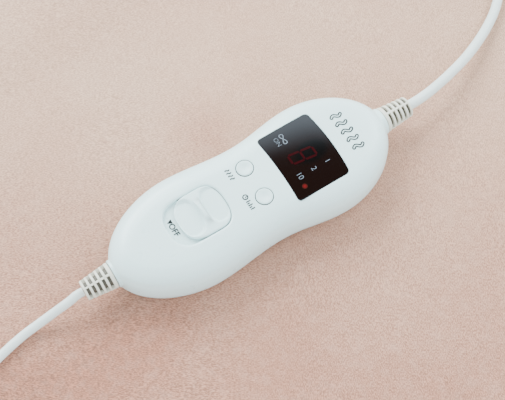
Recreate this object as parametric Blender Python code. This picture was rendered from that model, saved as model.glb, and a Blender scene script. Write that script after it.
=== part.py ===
"""Electric heated blanket laid out flat, with its hand controller, lead, mains cord and plug lying on it.

Metres, +Z up. The origin is the bottom centre of the blanket and X runs along its length. The controller
has a frame of its own: u along its housing, v across it and z up from its underside.
"""

import math
from collections import namedtuple

import bmesh
import bpy
from mathutils import Matrix, Vector
from mathutils.geometry import delaunay_2d_cdt

# Clearance between pieces that touch
GAP = 0.0003

# Blanket: two plush faces sewn into one sheet, whose edge is turned into a hem
CLOTH_LENGTH = 1.500
CLOTH_WIDTH = 0.800
CLOTH_THICK = 0.005
CORNER_RADIUS = 0.045
CORNER_STEPS = 5
SIDE_STEP = 0.060
HEM_WIDTH = 0.022
HEM_RISE = 0.0008
EDGE_ROUND = 0.0022
SIDE_DRAW = 0.003  # how far the hem draws a side in between the places where it lies full
LONG_SIDE_DRAWS = 5
SHORT_SIDE_DRAWS = 3

# Soft ridges in the cloth: the crest's ends, its sideways bow, its height, and how far the ridge reaches to
# the left and to the right of a line from start to end
Fold = namedtuple("Fold", "start end bow height left right")
FOLDS = (
    Fold((-0.100, -0.098), (-0.330, -0.205), 0.012, 0.0045, 0.028, 0.050),
    Fold((-0.290, -0.040), (-0.070, 0.125), -0.010, 0.0030, 0.060, 0.036),
    Fold((0.085, -0.095), (0.330, 0.010), 0.016, 0.0035, 0.050, 0.040),
    Fold((-0.800, 0.060), (-0.420, 0.250), -0.020, 0.0060, 0.045, 0.060),
    Fold((-0.560, -0.430), (-0.400, -0.230), 0.012, 0.0055, 0.050, 0.040),
    Fold((-0.330, 0.190), (-0.180, 0.440), 0.014, 0.0060, 0.040, 0.055),
    Fold((0.130, -0.440), (0.270, -0.150), -0.016, 0.0065, 0.055, 0.045),
    Fold((0.250, 0.090), (0.600, 0.270), 0.022, 0.0050, 0.060, 0.045),
    Fold((0.470, -0.300), (0.800, -0.080), -0.018, 0.0060, 0.045, 0.060),
)
FOLD_FADE = 0.3  # share of a ridge's length over which it rises at each end
FOLD_ROWS = 8  # rows of points along a ridge
FOLD_COLUMNS = (-1.0, -0.72, -0.48, -0.24, 0.0, 0.24, 0.48, 0.72, 1.0)
POINT_SPACING = 0.008  # closest that two points of the sheet may lie

# Controller housing: a peanut outline of two lobes and a drawn-in waist
CONTROLLER_X = -0.0398
CONTROLLER_Y = -0.0499
CONTROLLER_YAW = math.radians(32.3)
Lobe = namedtuple("Lobe", "centre length half power")  # half a superellipse, its centre's place along u
LEAD_LOBE = Lobe(-0.0310, 0.0405, 0.02665, 1.88)
MAINS_LOBE = Lobe(0.0370, 0.0368, 0.0281, 1.94)
WAIST_U = 0.0032
WAIST_HALF = 0.0241
LOBE_STEPS = 7
WAIST_STEPS = 6
PARTING_Z = 0.012
HOUSING_TOP = 0.024
# The housing's wall from its underside up: how far it lies inside the outline, and its height
HOUSING_PROFILE = (
    (0.0050, 0.0000),
    (0.0020, 0.0012),
    (0.0006, 0.0045),
    (0.0000, PARTING_Z),
    (0.0006, 0.0168),
    (0.0020, 0.0201),
    (0.0042, 0.0222),
    (0.0072, 0.0235),
    (0.0112, HOUSING_TOP),
)

# Necks at the housing's two ends, and the bores that trap the roots of the strain reliefs
LEAD_NECK_U = -0.0713
MAINS_NECK_U = 0.0746
NECK_RADIUS = 0.0067
NECK_LENGTH = 0.010
ROOT_RADIUS = 0.0044
ROOT_LENGTH = 0.0055

# Display window: straight long sides, both ends bowed towards the mains end
WINDOW_START_U = 0.0149
WINDOW_END_U = 0.0424
WINDOW_V = -0.0005  # its middle across the housing
WINDOW_HALF = 0.0181
WINDOW_START_BOW = 0.0008
WINDOW_END_BOW = 0.0013
WINDOW_CORNER = 0.0020
WINDOW_THICK = 0.0010
WINDOW_SINK = 0.0002  # its face below the housing's top
WINDOW_STEPS = 5

# Push buttons
BUTTON_U = 0.0030
BUTTON_V = 0.0083
BUTTON_RADIUS = 0.0040
BUTTON_HEIGHT = 0.0040
BUTTON_PROUD = 0.0004
BUTTON_TRAVEL = 0.0010
BUTTON_SIDES = 20

# Slide switch: its recess has straight sides and rounded ends, and the slider fits the ends' curves
RECESS_LEAD_U = -0.0420
RECESS_MAINS_U = -0.0127
RECESS_HALF = 0.0115
RECESS_LEAD_END = 0.0110  # length of the curved end
RECESS_MAINS_END = 0.0085
RECESS_POWER = 2.6  # exponent of the ends' superellipse
RECESS_DEPTH = 0.0022
SLIDER_TRAVEL = 0.0053
SLIDER_RIM = 0.0002  # its rim above the housing's top
SLIDER_CREST = 0.0013
SCOOP_DEPTH = 0.0009
CREST_WIDTH = 0.0022
SLIDER_ROUND = 0.0012  # fall of the top towards its edge
SLIDER_RINGS = (1.0, 0.92, 0.75, 0.5, 0.25, 0.05)  # sizes of the rings of points on the slider's top

# Lead from the controller to the blanket, and the mains cord
LEAD_RADIUS = 0.0021
MAINS_RADIUS = 0.0025
CORD_LIFT = 0.0007  # under a lying cord
POINT_DIAMETERS = 2.5  # spacing of a cord's points
STRAIGHT_DIAMETERS = 0.8  # straight stretch out of a strain relief

# Routes by hand, after the straight start: x, y and the height of the cord over where it would lie
LEAD_ROUTE = (
    (-0.1177, -0.0995, 0.0080),
    (-0.1241, -0.1035, 0.0049),
    (-0.1315, -0.1085, 0.0020),
    (-0.1377, -0.1133, 0.0007),
    (-0.1425, -0.1180, 0.0003),
    (-0.1489, -0.1252, 0.0000),
    (-0.1680, -0.1480, 0.0000),
    (-0.1900, -0.1680, 0.0000),
    (-0.2250, -0.1880, 0.0000),
    (-0.2700, -0.1990, 0.0000),
    (-0.3250, -0.2020, 0.0000),
    (-0.3850, -0.1960, 0.0000),
    (-0.4450, -0.1830, 0.0000),
    (-0.5050, -0.1700, 0.0000),
    (-0.5600, -0.1620, 0.0002),
    (-0.6050, -0.1600, 0.0012),
    (-0.6320, -0.1600, 0.0030),
    (-0.6443, -0.1600, 0.0030),
)
MAINS_ROUTE = (
    (0.0455, 0.0049, 0.0084),
    (0.0527, 0.0117, 0.0074),
    (0.0606, 0.0202, 0.0058),
    (0.0684, 0.0295, 0.0042),
    (0.0757, 0.0399, 0.0026),
    (0.0817, 0.0500, 0.0012),
    (0.0863, 0.0594, 0.0003),
    (0.0899, 0.0705, 0.0000),
    (0.0921, 0.0850, 0.0000),
    (0.0929, 0.1030, 0.0002),
    (0.0928, 0.1200, 0.0005),
)

# Round coil of the mains cord, held by a tie
COIL_X = 0.0570
COIL_Y = 0.1400
TURN_OUTER = 0.0355  # radius of the outermost turn's middle
TURN_INNER = 0.0234
TURN_PITCH = 0.0052
COIL_LAYERS = 4
COIL_SIDES = 32
COIL_CORNER = 0.0018
TIE_THICK = 0.0006
TIE_WIDTH = 0.009
TIE_ANGLE = math.radians(215)
TIE_PLAY = 0.0006  # room for the coil's curve inside the straight tie

# Tail from the top of the coil to the plug: x, y and height over where it would lie
TAIL_ROUTE = (
    (0.0360, 0.1766, 0.0150),
    (0.0260, 0.1780, 0.0123),
    (0.0100, 0.1808, 0.0067),
    (-0.0100, 0.1856, 0.0034),
    (-0.0300, 0.1880, 0.0040),
    (-0.0447, 0.1880, 0.0040),
)

# Flat two-pin plug lying on the cloth, its pins pointing along -X
PLUG_TIP_X = -0.0450
PLUG_Y = 0.1880
PLUG_LENGTH = 0.034
PLUG_HEIGHT = 0.0137
PLUG_SECTIONS = (  # distance from the back, width and height
    (0.0000, 0.0150, 0.0110),
    (0.0012, 0.0170, 0.0120),
    (0.0136, 0.0252, 0.0126),
    (0.0255, 0.0340, PLUG_HEIGHT),
    (0.0332, 0.0350, PLUG_HEIGHT),
    (PLUG_LENGTH, 0.0336, 0.0123),
)
PLUG_ROUND = 0.42  # corner radius as a share of the height
PIN_RADIUS = 0.0020
PIN_LENGTH = 0.0190
PIN_SPACING = 0.0186
PIN_TIP_SPACING = 0.0175

# Inlet on the cloth where the lead enters the blanket
INLET_X = -0.6900
INLET_Y = -0.1600
INLET_LENGTH = 0.046
INLET_WIDTH = 0.034
INLET_CORNER = 0.009
INLET_PROFILE = ((0.0010, 0.0), (0.0, 0.0012), (0.0004, 0.0085), (0.0018, 0.0108), (0.0042, 0.0120))
INLET_ENTRY_Z = 0.0055  # height of the lead above the cloth

# Tapered strain reliefs: a root in its bore, a plain collar, slots between ribs at an even pitch, and a plain
# tip; four webs run along them
Relief = namedtuple("Relief", "base_radius tip_radius root collar slots pitch tip")
LEAD_RELIEF = Relief(0.00635, 0.00470, ROOT_LENGTH, 0.0020, 5, 0.00255, 0.0010)
MAINS_RELIEF = Relief(0.00640, 0.00515, ROOT_LENGTH, 0.0022, 5, 0.00260, 0.0010)
PLUG_RELIEF = Relief(0.00560, 0.00360, 0.0, 0.0070, 3, 0.0052, 0.0056)
INLET_RELIEF = Relief(0.00500, 0.00330, 0.0, 0.0060, 3, 0.0048, 0.0054)
SLOT_LENGTH = 0.00105
SLOT_DEPTH = 0.0018
RELIEF_SIDES = 12
WEB_EVERY = 3  # one side in three is a web


def clear_scene():
    for obj in list(bpy.data.objects):
        bpy.data.objects.remove(obj)


def material(name, colour, roughness, metallic=0.0):
    finish = bpy.data.materials.new(name)
    finish.use_nodes = True
    shader = finish.node_tree.nodes["Principled BSDF"]
    shader.inputs["Base Color"].default_value = (*colour, 1.0)
    shader.inputs["Roughness"].default_value = roughness
    shader.inputs["Metallic"].default_value = metallic
    return finish


def add_object(name, data, parent=None, location=(0.0, 0.0, 0.0)):
    obj = bpy.data.objects.new(name, data)
    bpy.context.collection.objects.link(obj)
    obj.parent = parent
    obj.location = location
    return obj


def add_mesh(name, bm, finish=None, parent=None, location=(0.0, 0.0, 0.0)):
    """A solid from a bmesh, its faces turned outwards and all but its flat ends shaded smooth."""
    bmesh.ops.recalc_face_normals(bm, faces=bm.faces)
    mesh = bpy.data.meshes.new(name)
    bm.to_mesh(mesh)
    bm.free()
    mesh.shade_smooth()
    mesh.set_sharp_from_angle(angle=math.radians(40))
    for face in mesh.polygons:
        if len(face.vertices) > 4:
            face.use_smooth = False
    if finish:
        mesh.materials.append(finish)
    return add_object(name, mesh, parent, location)


def cut(obj, cutter, operation="DIFFERENCE"):
    """A Boolean whose other object is only a guide."""
    cutter.hide_render = True
    cutter.display_type = "WIRE"
    modifier = obj.modifiers.new(operation.title(), "BOOLEAN")
    modifier.operation = operation
    modifier.solver = "EXACT"
    modifier.object = cutter


def loft(bm, rings):
    """Closed solid through rings of equal length, its first and last ring capped."""
    rows = [[bm.verts.new(point) for point in ring] for ring in rings]
    for low, high in zip(rows, rows[1:]):
        for i in range(len(low)):
            j = (i + 1) % len(low)
            bm.faces.new((low[i], low[j], high[j], high[i]))
    bm.faces.new(rows[0])
    bm.faces.new(rows[-1])


def prism(outline, low, high):
    bm = bmesh.new()
    loft(bm, [[(x, y, z) for x, y in outline] for z in (low, high)])
    return bm


def circle(radius, sides, centre=(0.0, 0.0)):
    turn = 2 * math.pi / sides
    return [
        (centre[0] + radius * math.cos(i * turn), centre[1] + radius * math.sin(i * turn))
        for i in range(sides)
    ]


def rounded_rectangle(length, width, corner, steps):
    """Outline points and their outward directions, once round anticlockwise from the +X side."""
    points = []
    for quarter, (sx, sy) in enumerate(((1, 1), (-1, 1), (-1, -1), (1, -1))):
        middle = Vector((sx * (length / 2 - corner), sy * (width / 2 - corner)))
        for i in range(steps + 1):
            angle = (quarter + i / steps) * math.pi / 2
            outward = Vector((math.cos(angle), math.sin(angle)))
            points.append((middle + corner * outward, outward))
    return points


def along_axis(bm, axis):
    """Turns what was built along Z to run along the given direction."""
    bmesh.ops.transform(bm, matrix=Vector(axis).to_track_quat("Z", "Y").to_matrix().to_4x4(), verts=bm.verts)


# Cloth


def rise(x, y):
    """How far the ridges lift the cloth off the surface it lies on."""
    height = 0.0
    point = Vector((x, y))
    for fold in FOLDS:
        start = Vector(fold.start)
        run = Vector(fold.end) - start
        share = (point - start).dot(run) / run.length_squared
        if not 0 < share < 1:
            continue
        across = run.cross(point - start) / run.length - 4 * fold.bow * share * (1 - share)
        reach = fold.left if across > 0 else fold.right
        if abs(across) >= reach:
            continue
        fade = min(1.0, share / FOLD_FADE, (1 - share) / FOLD_FADE)
        height += fold.height * fade * fade * (3 - 2 * fade) * math.cos(math.pi * across / reach / 2) ** 2
    return height


def cloth_outline():
    """The hem's outline with the direction out of it: rounded corners, sides drawn in a little."""
    corners = rounded_rectangle(CLOTH_LENGTH, CLOTH_WIDTH, CORNER_RADIUS, CORNER_STEPS)
    size = CORNER_STEPS + 1
    outline = []
    for quarter in range(4):
        corner = corners[quarter * size : (quarter + 1) * size]
        outline += corner
        start, outward = corner[-1]
        end = corners[(quarter + 1) * size % len(corners)][0]
        draws = LONG_SIDE_DRAWS if quarter % 2 == 0 else SHORT_SIDE_DRAWS
        steps = round((end - start).length / SIDE_STEP)
        for i in range(1, steps):
            share = i / steps
            drawn = SIDE_DRAW * math.sin(math.pi * draws * share) ** 2 * (0.55 + 0.45 * math.cos(5 * share))
            outline.append((start.lerp(end, share) - drawn * outward, outward))
    return outline


def fold_points():
    """Points of the sheet along and across each ridge, where it bends."""
    points = []
    inner_x = CLOTH_LENGTH / 2 - HEM_WIDTH - 2 * POINT_SPACING
    inner_y = CLOTH_WIDTH / 2 - HEM_WIDTH - 2 * POINT_SPACING
    for fold in FOLDS:
        start = Vector(fold.start)
        run = Vector(fold.end) - start
        left = run.normalized().orthogonal()
        for row in range(FOLD_ROWS + 1):
            share = row / FOLD_ROWS
            crest = start + share * run + 4 * fold.bow * share * (1 - share) * left
            for column in FOLD_COLUMNS:
                point = crest + column * (fold.left if column > 0 else fold.right) * left
                inside = abs(point.x) < inner_x and abs(point.y) < inner_y
                if inside and all((point - other).length > POINT_SPACING for other in points):
                    points.append(point)
    return points


def make_cloth(finish):
    outline = cloth_outline()
    seam = HEM_WIDTH + EDGE_ROUND
    # The hem from the seam on the upper face, round the edge, to the seam on the underside
    hem = (
        (seam, CLOTH_THICK),
        (HEM_WIDTH, CLOTH_THICK + HEM_RISE),
        (EDGE_ROUND, CLOTH_THICK + HEM_RISE),
        (0.3 * EDGE_ROUND, CLOTH_THICK + HEM_RISE - 0.4 * EDGE_ROUND),
        (0.0, CLOTH_THICK / 2),
        (0.3 * EDGE_ROUND, 0.4 * EDGE_ROUND),
        (EDGE_ROUND, 0.0),
    )
    bm = bmesh.new()
    rows = []
    for inset, height in hem:
        ring = [point - inset * outward for point, outward in outline]
        rows.append([bm.verts.new((p.x, p.y, height + rise(p.x, p.y))) for p in ring])
    count = len(outline)
    for upper, lower in zip(rows, rows[1:]):
        for i in range(count):
            j = (i + 1) % count
            bm.faces.new((upper[i], lower[i], lower[j], upper[j]))
    # Both faces inside the seam and the edge, as triangles through the ridges' points
    for edge_row, height in ((rows[0], CLOTH_THICK), (rows[-1], 0.0)):
        inner = [Vector(vert.co.xy) for vert in edge_row] + fold_points()
        ring = [(i, (i + 1) % count) for i in range(count)]
        points, _, faces, sources, _, _ = delaunay_2d_cdt(inner, ring, [], 1, 1e-6)
        verts = []
        for point, source in zip(points, sources):
            on_ring = [i for i in source if i < count]
            if on_ring:
                verts.append(edge_row[on_ring[0]])
            else:
                verts.append(bm.verts.new((point.x, point.y, height + rise(point.x, point.y))))
        for face in faces:
            bm.faces.new([verts[i] for i in face])
    return add_mesh("blanket_cloth", bm, finish)


# Controller


def half_width(u):
    """Half width of the housing's waist between the lobes."""
    lobe = LEAD_LOBE if u < WAIST_U else MAINS_LOBE
    share = (u - WAIST_U) / (lobe.centre - WAIST_U)
    return WAIST_HALF + (lobe.half - WAIST_HALF) * (1 - math.cos(math.pi * share)) / 2


def lobe_quarter(lobe, first):
    """A quarter of a lobe's curve from the given angle on, with the direction out of it."""
    bend = 2 / lobe.power
    quarter = []
    for i in range(LOBE_STEPS + 1):
        angle = math.radians(first + 90 * i / LOBE_STEPS)
        side = 1 if first < 90 else -1
        c, s = abs(math.cos(angle)), abs(math.sin(angle))
        point = Vector((lobe.centre + side * lobe.length * c**bend, lobe.half * s**bend))
        outward = Vector((side * c ** (2 - bend) / lobe.length, s ** (2 - bend) / lobe.half))
        quarter.append((point, outward.normalized()))
    return quarter


def waist_side():
    """The drawn-in side from the mains lobe to the lead lobe, with the direction out of it."""
    side = []
    for i in range(1, WAIST_STEPS):
        u = MAINS_LOBE.centre + (LEAD_LOBE.centre - MAINS_LOBE.centre) * i / WAIST_STEPS
        slope = (half_width(u + 1e-5) - half_width(u - 1e-5)) / 2e-5
        side.append((Vector((u, half_width(u))), Vector((-slope, 1)).normalized()))
    return side


def housing_outline():
    """The peanut outline with the direction out of it, anticlockwise from the mains end."""
    upper = lobe_quarter(MAINS_LOBE, 0) + waist_side() + lobe_quarter(LEAD_LOBE, 90)
    mirrored = [(Vector((p.x, -p.y)), Vector((n.x, -n.y))) for p, n in reversed(upper[1:-1])]
    return upper + mirrored


def make_housing(name, finish, parent):
    outline = housing_outline()
    rings = []
    for inset, height in HOUSING_PROFILE:
        ring = [point - inset * outward for point, outward in outline]
        rings.append([(p.x, p.y, height) for p in ring])
    bm = bmesh.new()
    loft(bm, rings)
    return add_mesh(name, bm, finish, parent)


def axial_guide(name, radius, sides, start, end, parent):
    """Guide cylinder along u at the height of the cords' axis."""
    bm = prism(circle(radius, sides), start, end)
    along_axis(bm, (1, 0, 0))
    return add_mesh(name, bm, None, parent, (0.0, 0.0, PARTING_Z))


def slab_guide(name, low, high, parent):
    reach = 0.2
    bm = prism(((-reach, -reach), (reach, -reach), (reach, reach), (-reach, reach)), low, high)
    return add_mesh(name, bm, None, parent)


def superellipse_end(length, half, power, steps, sign):
    """From the +v side round an end to the -v side, measured from where the end begins."""
    points = []
    for i in range(steps + 1):
        angle = math.pi / 2 - math.pi * i / steps
        c, s = math.cos(angle), math.sin(angle)
        u = length * abs(c) ** (2 / power)
        v = half * math.copysign(abs(s) ** (2 / power), s)
        points.append((sign * u, v))
    return points


def slot_outline(lead_u, mains_u, half, lead_end, mains_end, steps=10):
    """Straight sides with a curved end at each side."""
    mains = superellipse_end(mains_end, half, RECESS_POWER, steps, 1)
    lead = superellipse_end(lead_end, half, RECESS_POWER, steps, -1)
    outline = [(mains_u - mains_end + u, v) for u, v in mains]
    outline += [(lead_u + lead_end + u, v) for u, v in reversed(lead)]
    return outline


def window_outline(spare=0.0):
    """Straight sides, small round corners, both ends bowed."""
    middle = (WINDOW_START_U + WINDOW_END_U) / 2
    length = WINDOW_END_U - WINDOW_START_U + 2 * spare
    half = WINDOW_HALF + spare
    corners = [point for point, _ in rounded_rectangle(length, 2 * half, WINDOW_CORNER, 3)]
    size = len(corners) // 4
    outline = []
    for quarter in range(4):
        outline += corners[quarter * size : (quarter + 1) * size]
        if quarter % 2 == 1:
            start = corners[(quarter + 1) * size - 1]
            end = corners[(quarter + 1) * size % len(corners)]
            outline += [start.lerp(end, i / WINDOW_STEPS) for i in range(1, WINDOW_STEPS)]
    bowed = []
    for point in outline:
        bow = WINDOW_END_BOW if point.x > 0 else WINDOW_START_BOW
        bowed.append((middle + point.x + bow * (1 - (point.y / half) ** 2), WINDOW_V + point.y))
    return bowed


def make_controller(shell, glass, button, parent):
    base = make_housing("controller_base", shell, parent)
    top = make_housing("controller_top", shell, parent)
    necks = (
        axial_guide("guide_lead_neck", NECK_RADIUS, 16, LEAD_NECK_U, LEAD_NECK_U + NECK_LENGTH, parent),
        axial_guide("guide_mains_neck", NECK_RADIUS, 16, MAINS_NECK_U - NECK_LENGTH, MAINS_NECK_U, parent),
    )
    bore = ROOT_RADIUS + GAP
    depth = ROOT_LENGTH + GAP
    bores = (
        axial_guide("guide_lead_bore", bore, 12, LEAD_NECK_U - depth, LEAD_NECK_U + depth, parent),
        axial_guide("guide_mains_bore", bore, 12, MAINS_NECK_U - depth, MAINS_NECK_U + depth, parent),
    )
    above = slab_guide("guide_above", PARTING_Z - GAP / 2, 2 * HOUSING_TOP, parent)
    below = slab_guide("guide_below", -HOUSING_TOP, PARTING_Z + GAP / 2, parent)
    for half, slab in ((base, above), (top, below)):
        for neck in necks:
            cut(half, neck, "UNION")
        for hole in bores:
            cut(half, hole)
        cut(half, slab)

    over = HOUSING_TOP + 0.01
    window_top = HOUSING_TOP - WINDOW_SINK
    pocket = prism(window_outline(GAP), window_top - WINDOW_THICK - GAP, over)
    cut(top, add_mesh("guide_window", pocket, None, parent))
    recess = slot_outline(RECESS_LEAD_U, RECESS_MAINS_U, RECESS_HALF, RECESS_LEAD_END, RECESS_MAINS_END)
    pocket = prism(recess, HOUSING_TOP - RECESS_DEPTH, over)
    cut(top, add_mesh("guide_recess", pocket, None, parent))

    window = prism(window_outline(), window_top - WINDOW_THICK, window_top)
    add_mesh("display_window", window, glass, parent)

    top_z = HOUSING_TOP + BUTTON_PROUD
    for name, side in (("heat_button", 1), ("timer_button", -1)):
        centre = (BUTTON_U, side * BUTTON_V)
        well = top_z - BUTTON_HEIGHT - BUTTON_TRAVEL - GAP
        hole = prism(circle(BUTTON_RADIUS + GAP, BUTTON_SIDES, centre), well, over)
        cut(top, add_mesh(f"guide_{name}", hole, None, parent))
        bm = bmesh.new()
        rings = (
            (BUTTON_RADIUS, -BUTTON_HEIGHT),
            (BUTTON_RADIUS, -0.0005),
            (BUTTON_RADIUS - 0.0005, 0.0),
            (0.5 * BUTTON_RADIUS, -0.00015),
        )
        loft(bm, [[(x, y, z) for x, y in circle(radius, BUTTON_SIDES)] for radius, z in rings])
        add_mesh(name, bm, button, parent, (*centre, top_z))


def slider_height(u, v, half):
    """Top of the slider: a thumb scoop each side of a crest across its middle."""
    length = RECESS_MAINS_U - RECESS_LEAD_U - SLIDER_TRAVEL - 2 * GAP
    along = 2 * u / length
    across = v / half
    crest = SLIDER_CREST * math.exp(-((u / CREST_WIDTH) ** 2))
    scoop = math.sin(math.pi * min(1.0, abs(along))) ** 2 * max(0.0, 1 - across**2)
    edge = SLIDER_ROUND * max(abs(along), abs(across)) ** 8
    return SLIDER_RIM + crest * (1 - 0.5 * across**2) - SCOOP_DEPTH * scoop - edge


def make_slider(finish, parent):
    """The slider, its origin at its middle, level with the housing's top."""
    lead_u = RECESS_LEAD_U + SLIDER_TRAVEL + GAP
    mains_u = RECESS_MAINS_U - GAP
    middle = (lead_u + mains_u) / 2
    half = RECESS_HALF - GAP
    outline = slot_outline(lead_u - middle, mains_u - middle, half, RECESS_LEAD_END, RECESS_MAINS_END)
    floor = GAP - RECESS_DEPTH
    bm = bmesh.new()
    rings = [[(u, v, floor) for u, v in outline]]
    for scale in SLIDER_RINGS:
        ring = [(scale * u, scale * v) for u, v in outline]
        rings.append([(u, v, slider_height(u, v, half)) for u, v in ring])
    loft(bm, rings)
    add_mesh("power_slider", bm, finish, parent, (middle, 0.0, HOUSING_TOP))


# Strain reliefs


def ring_of_sides(z, radius, web_radius):
    points = []
    for i in range(RELIEF_SIDES):
        angle = 2 * math.pi * i / RELIEF_SIDES
        reach = web_radius if i % WEB_EVERY == 0 else radius
        points.append((reach * math.cos(angle), reach * math.sin(angle), z))
    return points


def relief_length(relief):
    return relief.collar + (relief.slots - 1) * relief.pitch + SLOT_LENGTH + relief.tip


def make_relief(name, relief, finish, parent, location, axis):
    """A relief standing on the face it grows out of, along the given axis."""
    length = relief_length(relief)

    def outer(z):
        return relief.base_radius + (relief.tip_radius - relief.base_radius) * z / length

    stations = []
    if relief.root:
        stations += [(-relief.root, ROOT_RADIUS, ROOT_RADIUS), (GAP, ROOT_RADIUS, ROOT_RADIUS)]
    stations.append((GAP, outer(0), outer(0)))
    for i in range(relief.slots):
        start = relief.collar + i * relief.pitch
        end = start + SLOT_LENGTH
        stations.append((start, outer(start), outer(start)))
        stations.append((start, outer(start) - SLOT_DEPTH, outer(start)))
        stations.append((end, outer(end) - SLOT_DEPTH, outer(end)))
        stations.append((end, outer(end), outer(end)))
    stations.append((length, outer(length), outer(length)))
    bm = bmesh.new()
    loft(bm, [ring_of_sides(*station) for station in stations])
    bmesh.ops.remove_doubles(bm, verts=bm.verts, dist=1e-6)
    along_axis(bm, axis)
    add_mesh(name, bm, finish, parent, location)


# Cords


def smooth_route(points, step):
    """Points about a step apart on a smooth curve through the given points."""
    padded = [2 * points[0] - points[1], *points, 2 * points[-1] - points[-2]]
    tangents = []
    for a, b, c in zip(padded, padded[1:], padded[2:]):
        before = (b - a).length
        after = (c - b).length
        tangents.append(((b - a) / before * after + (c - b) / after * before) / (before + after))
    dense = []
    for i, (a, b) in enumerate(zip(points, points[1:])):
        chord = (b - a).length
        for k in range(20):
            t = k / 20
            dense.append(
                (2 * t**3 - 3 * t**2 + 1) * a
                + (3 * t**2 - 2 * t**3) * b
                + (t**3 - 2 * t**2 + t) * chord * tangents[i]
                + (t**3 - t**2) * chord * tangents[i + 1]
            )
    dense.append(points[-1].copy())
    lengths = [0.0]
    for a, b in zip(dense, dense[1:]):
        lengths.append(lengths[-1] + (b - a).length)
    count = max(2, round(lengths[-1] / step))
    even = []
    k = 0
    for i in range(count):
        target = lengths[-1] * i / count
        while lengths[k + 1] < target:
            k += 1
        even.append(dense[k].lerp(dense[k + 1], (target - lengths[k]) / (lengths[k + 1] - lengths[k])))
    return even + [dense[-1]]


def lying_height(x, y, radius):
    """Height of a cord's middle where it lies on the cloth."""
    under = max(rise(x + dx, y + dy) for dx in (-radius, radius) for dy in (-radius, radius))
    return CLOTH_THICK + under + CORD_LIFT + radius


def make_cord(name, finish, start, route, radius, resolution):
    """A round cord: a straight start, then a route whose points give the height over where it would lie."""
    whole = [Vector(p) for p in (*start, *route)]
    bends = smooth_route(whole, POINT_DIAMETERS * 2 * radius)
    if start:
        bends.insert(1, whole[1])
    points = [(p.x, p.y, p.z + lying_height(p.x, p.y, radius)) for p in bends]
    curve = bpy.data.curves.new(name, "CURVE")
    curve.dimensions = "3D"
    curve.bevel_depth = radius
    curve.bevel_resolution = resolution
    curve.use_fill_caps = True
    spline = curve.splines.new("POLY")
    spline.points.add(len(points) - 1)
    for slot, point in zip(spline.points, points):
        slot.co = (*point, 1.0)
    curve.materials.append(finish)
    add_object(name, curve)


def from_controller(u, v):
    c, s = math.cos(CONTROLLER_YAW), math.sin(CONTROLLER_YAW)
    return (CONTROLLER_X + u * c - v * s, CONTROLLER_Y + u * s + v * c)


def relief_exit(u, radius):
    """Straight start of a cord at its strain relief, with its height over where it would lie."""
    axis_height = CLOTH_THICK + GAP + PARTING_Z
    start = []
    for reach in (u, u + math.copysign(STRAIGHT_DIAMETERS * 2 * radius, u)):
        x, y = from_controller(reach, 0.0)
        start.append((x, y, axis_height - lying_height(x, y, radius)))
    return start


# Coil, tie, plug and inlet


def coil_floor():
    """The coil lies on its tie."""
    return CLOTH_THICK + 2 * GAP + TIE_THICK


def coil_section():
    """Inner and outer radius, bottom and top of the wound coil."""
    bottom = coil_floor()
    top = bottom + (COIL_LAYERS - 1) * TURN_PITCH + 2 * MAINS_RADIUS
    return TURN_INNER - MAINS_RADIUS, TURN_OUTER + MAINS_RADIUS, bottom, top


def make_coil(finish):
    inner, outer, bottom, top = coil_section()
    corner = COIL_CORNER
    section = (
        (outer - corner, bottom),
        (outer, bottom + corner),
        (outer, top - corner),
        (outer - corner, top),
        (inner + corner, top),
        (inner, top - corner),
        (inner, bottom + corner),
        (inner + corner, bottom),
    )
    bm = bmesh.new()
    rows = []
    for i in range(COIL_SIDES):
        angle = 2 * math.pi * i / COIL_SIDES
        c, s = math.cos(angle), math.sin(angle)
        rows.append([bm.verts.new((radius * c, radius * s, z)) for radius, z in section])
    for i, row in enumerate(rows):
        after = rows[(i + 1) % COIL_SIDES]
        for k in range(len(section)):
            m = (k + 1) % len(section)
            bm.faces.new((row[k], row[m], after[m], after[k]))
    add_mesh("mains_coil", bm, finish, None, (COIL_X, COIL_Y, 0.0))


def make_tie(finish):
    """A thin strap round the coil's section."""
    inner, outer, bottom, top = coil_section()
    middle = (inner + outer) / 2
    height = (bottom + top) / 2
    room_across = (outer - inner) / 2 + GAP + TIE_PLAY
    room_up = (top - bottom) / 2 + GAP
    loops = []
    for extra in (0.0, TIE_THICK):
        loop = rounded_rectangle(2 * (room_across + extra), 2 * (room_up + extra), COIL_CORNER / 2 + extra, 2)
        loops.append([point for point, _ in loop])
    bm = bmesh.new()
    sides = []
    for y in (-TIE_WIDTH / 2, TIE_WIDTH / 2):
        for loop in loops:
            sides.append([bm.verts.new((middle + p.x, y, height + p.y)) for p in loop])
    near_inner, near_outer, far_inner, far_outer = sides
    for a, b in (
        (near_inner, near_outer),
        (near_outer, far_outer),
        (far_outer, far_inner),
        (far_inner, near_inner),
    ):
        for i in range(len(a)):
            j = (i + 1) % len(a)
            bm.faces.new((a[i], a[j], b[j], b[i]))
    bmesh.ops.rotate(bm, matrix=Matrix.Rotation(TIE_ANGLE, 3, "Z"), verts=bm.verts)
    add_mesh("coil_tie", bm, finish, None, (COIL_X, COIL_Y, 0.0))


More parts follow.
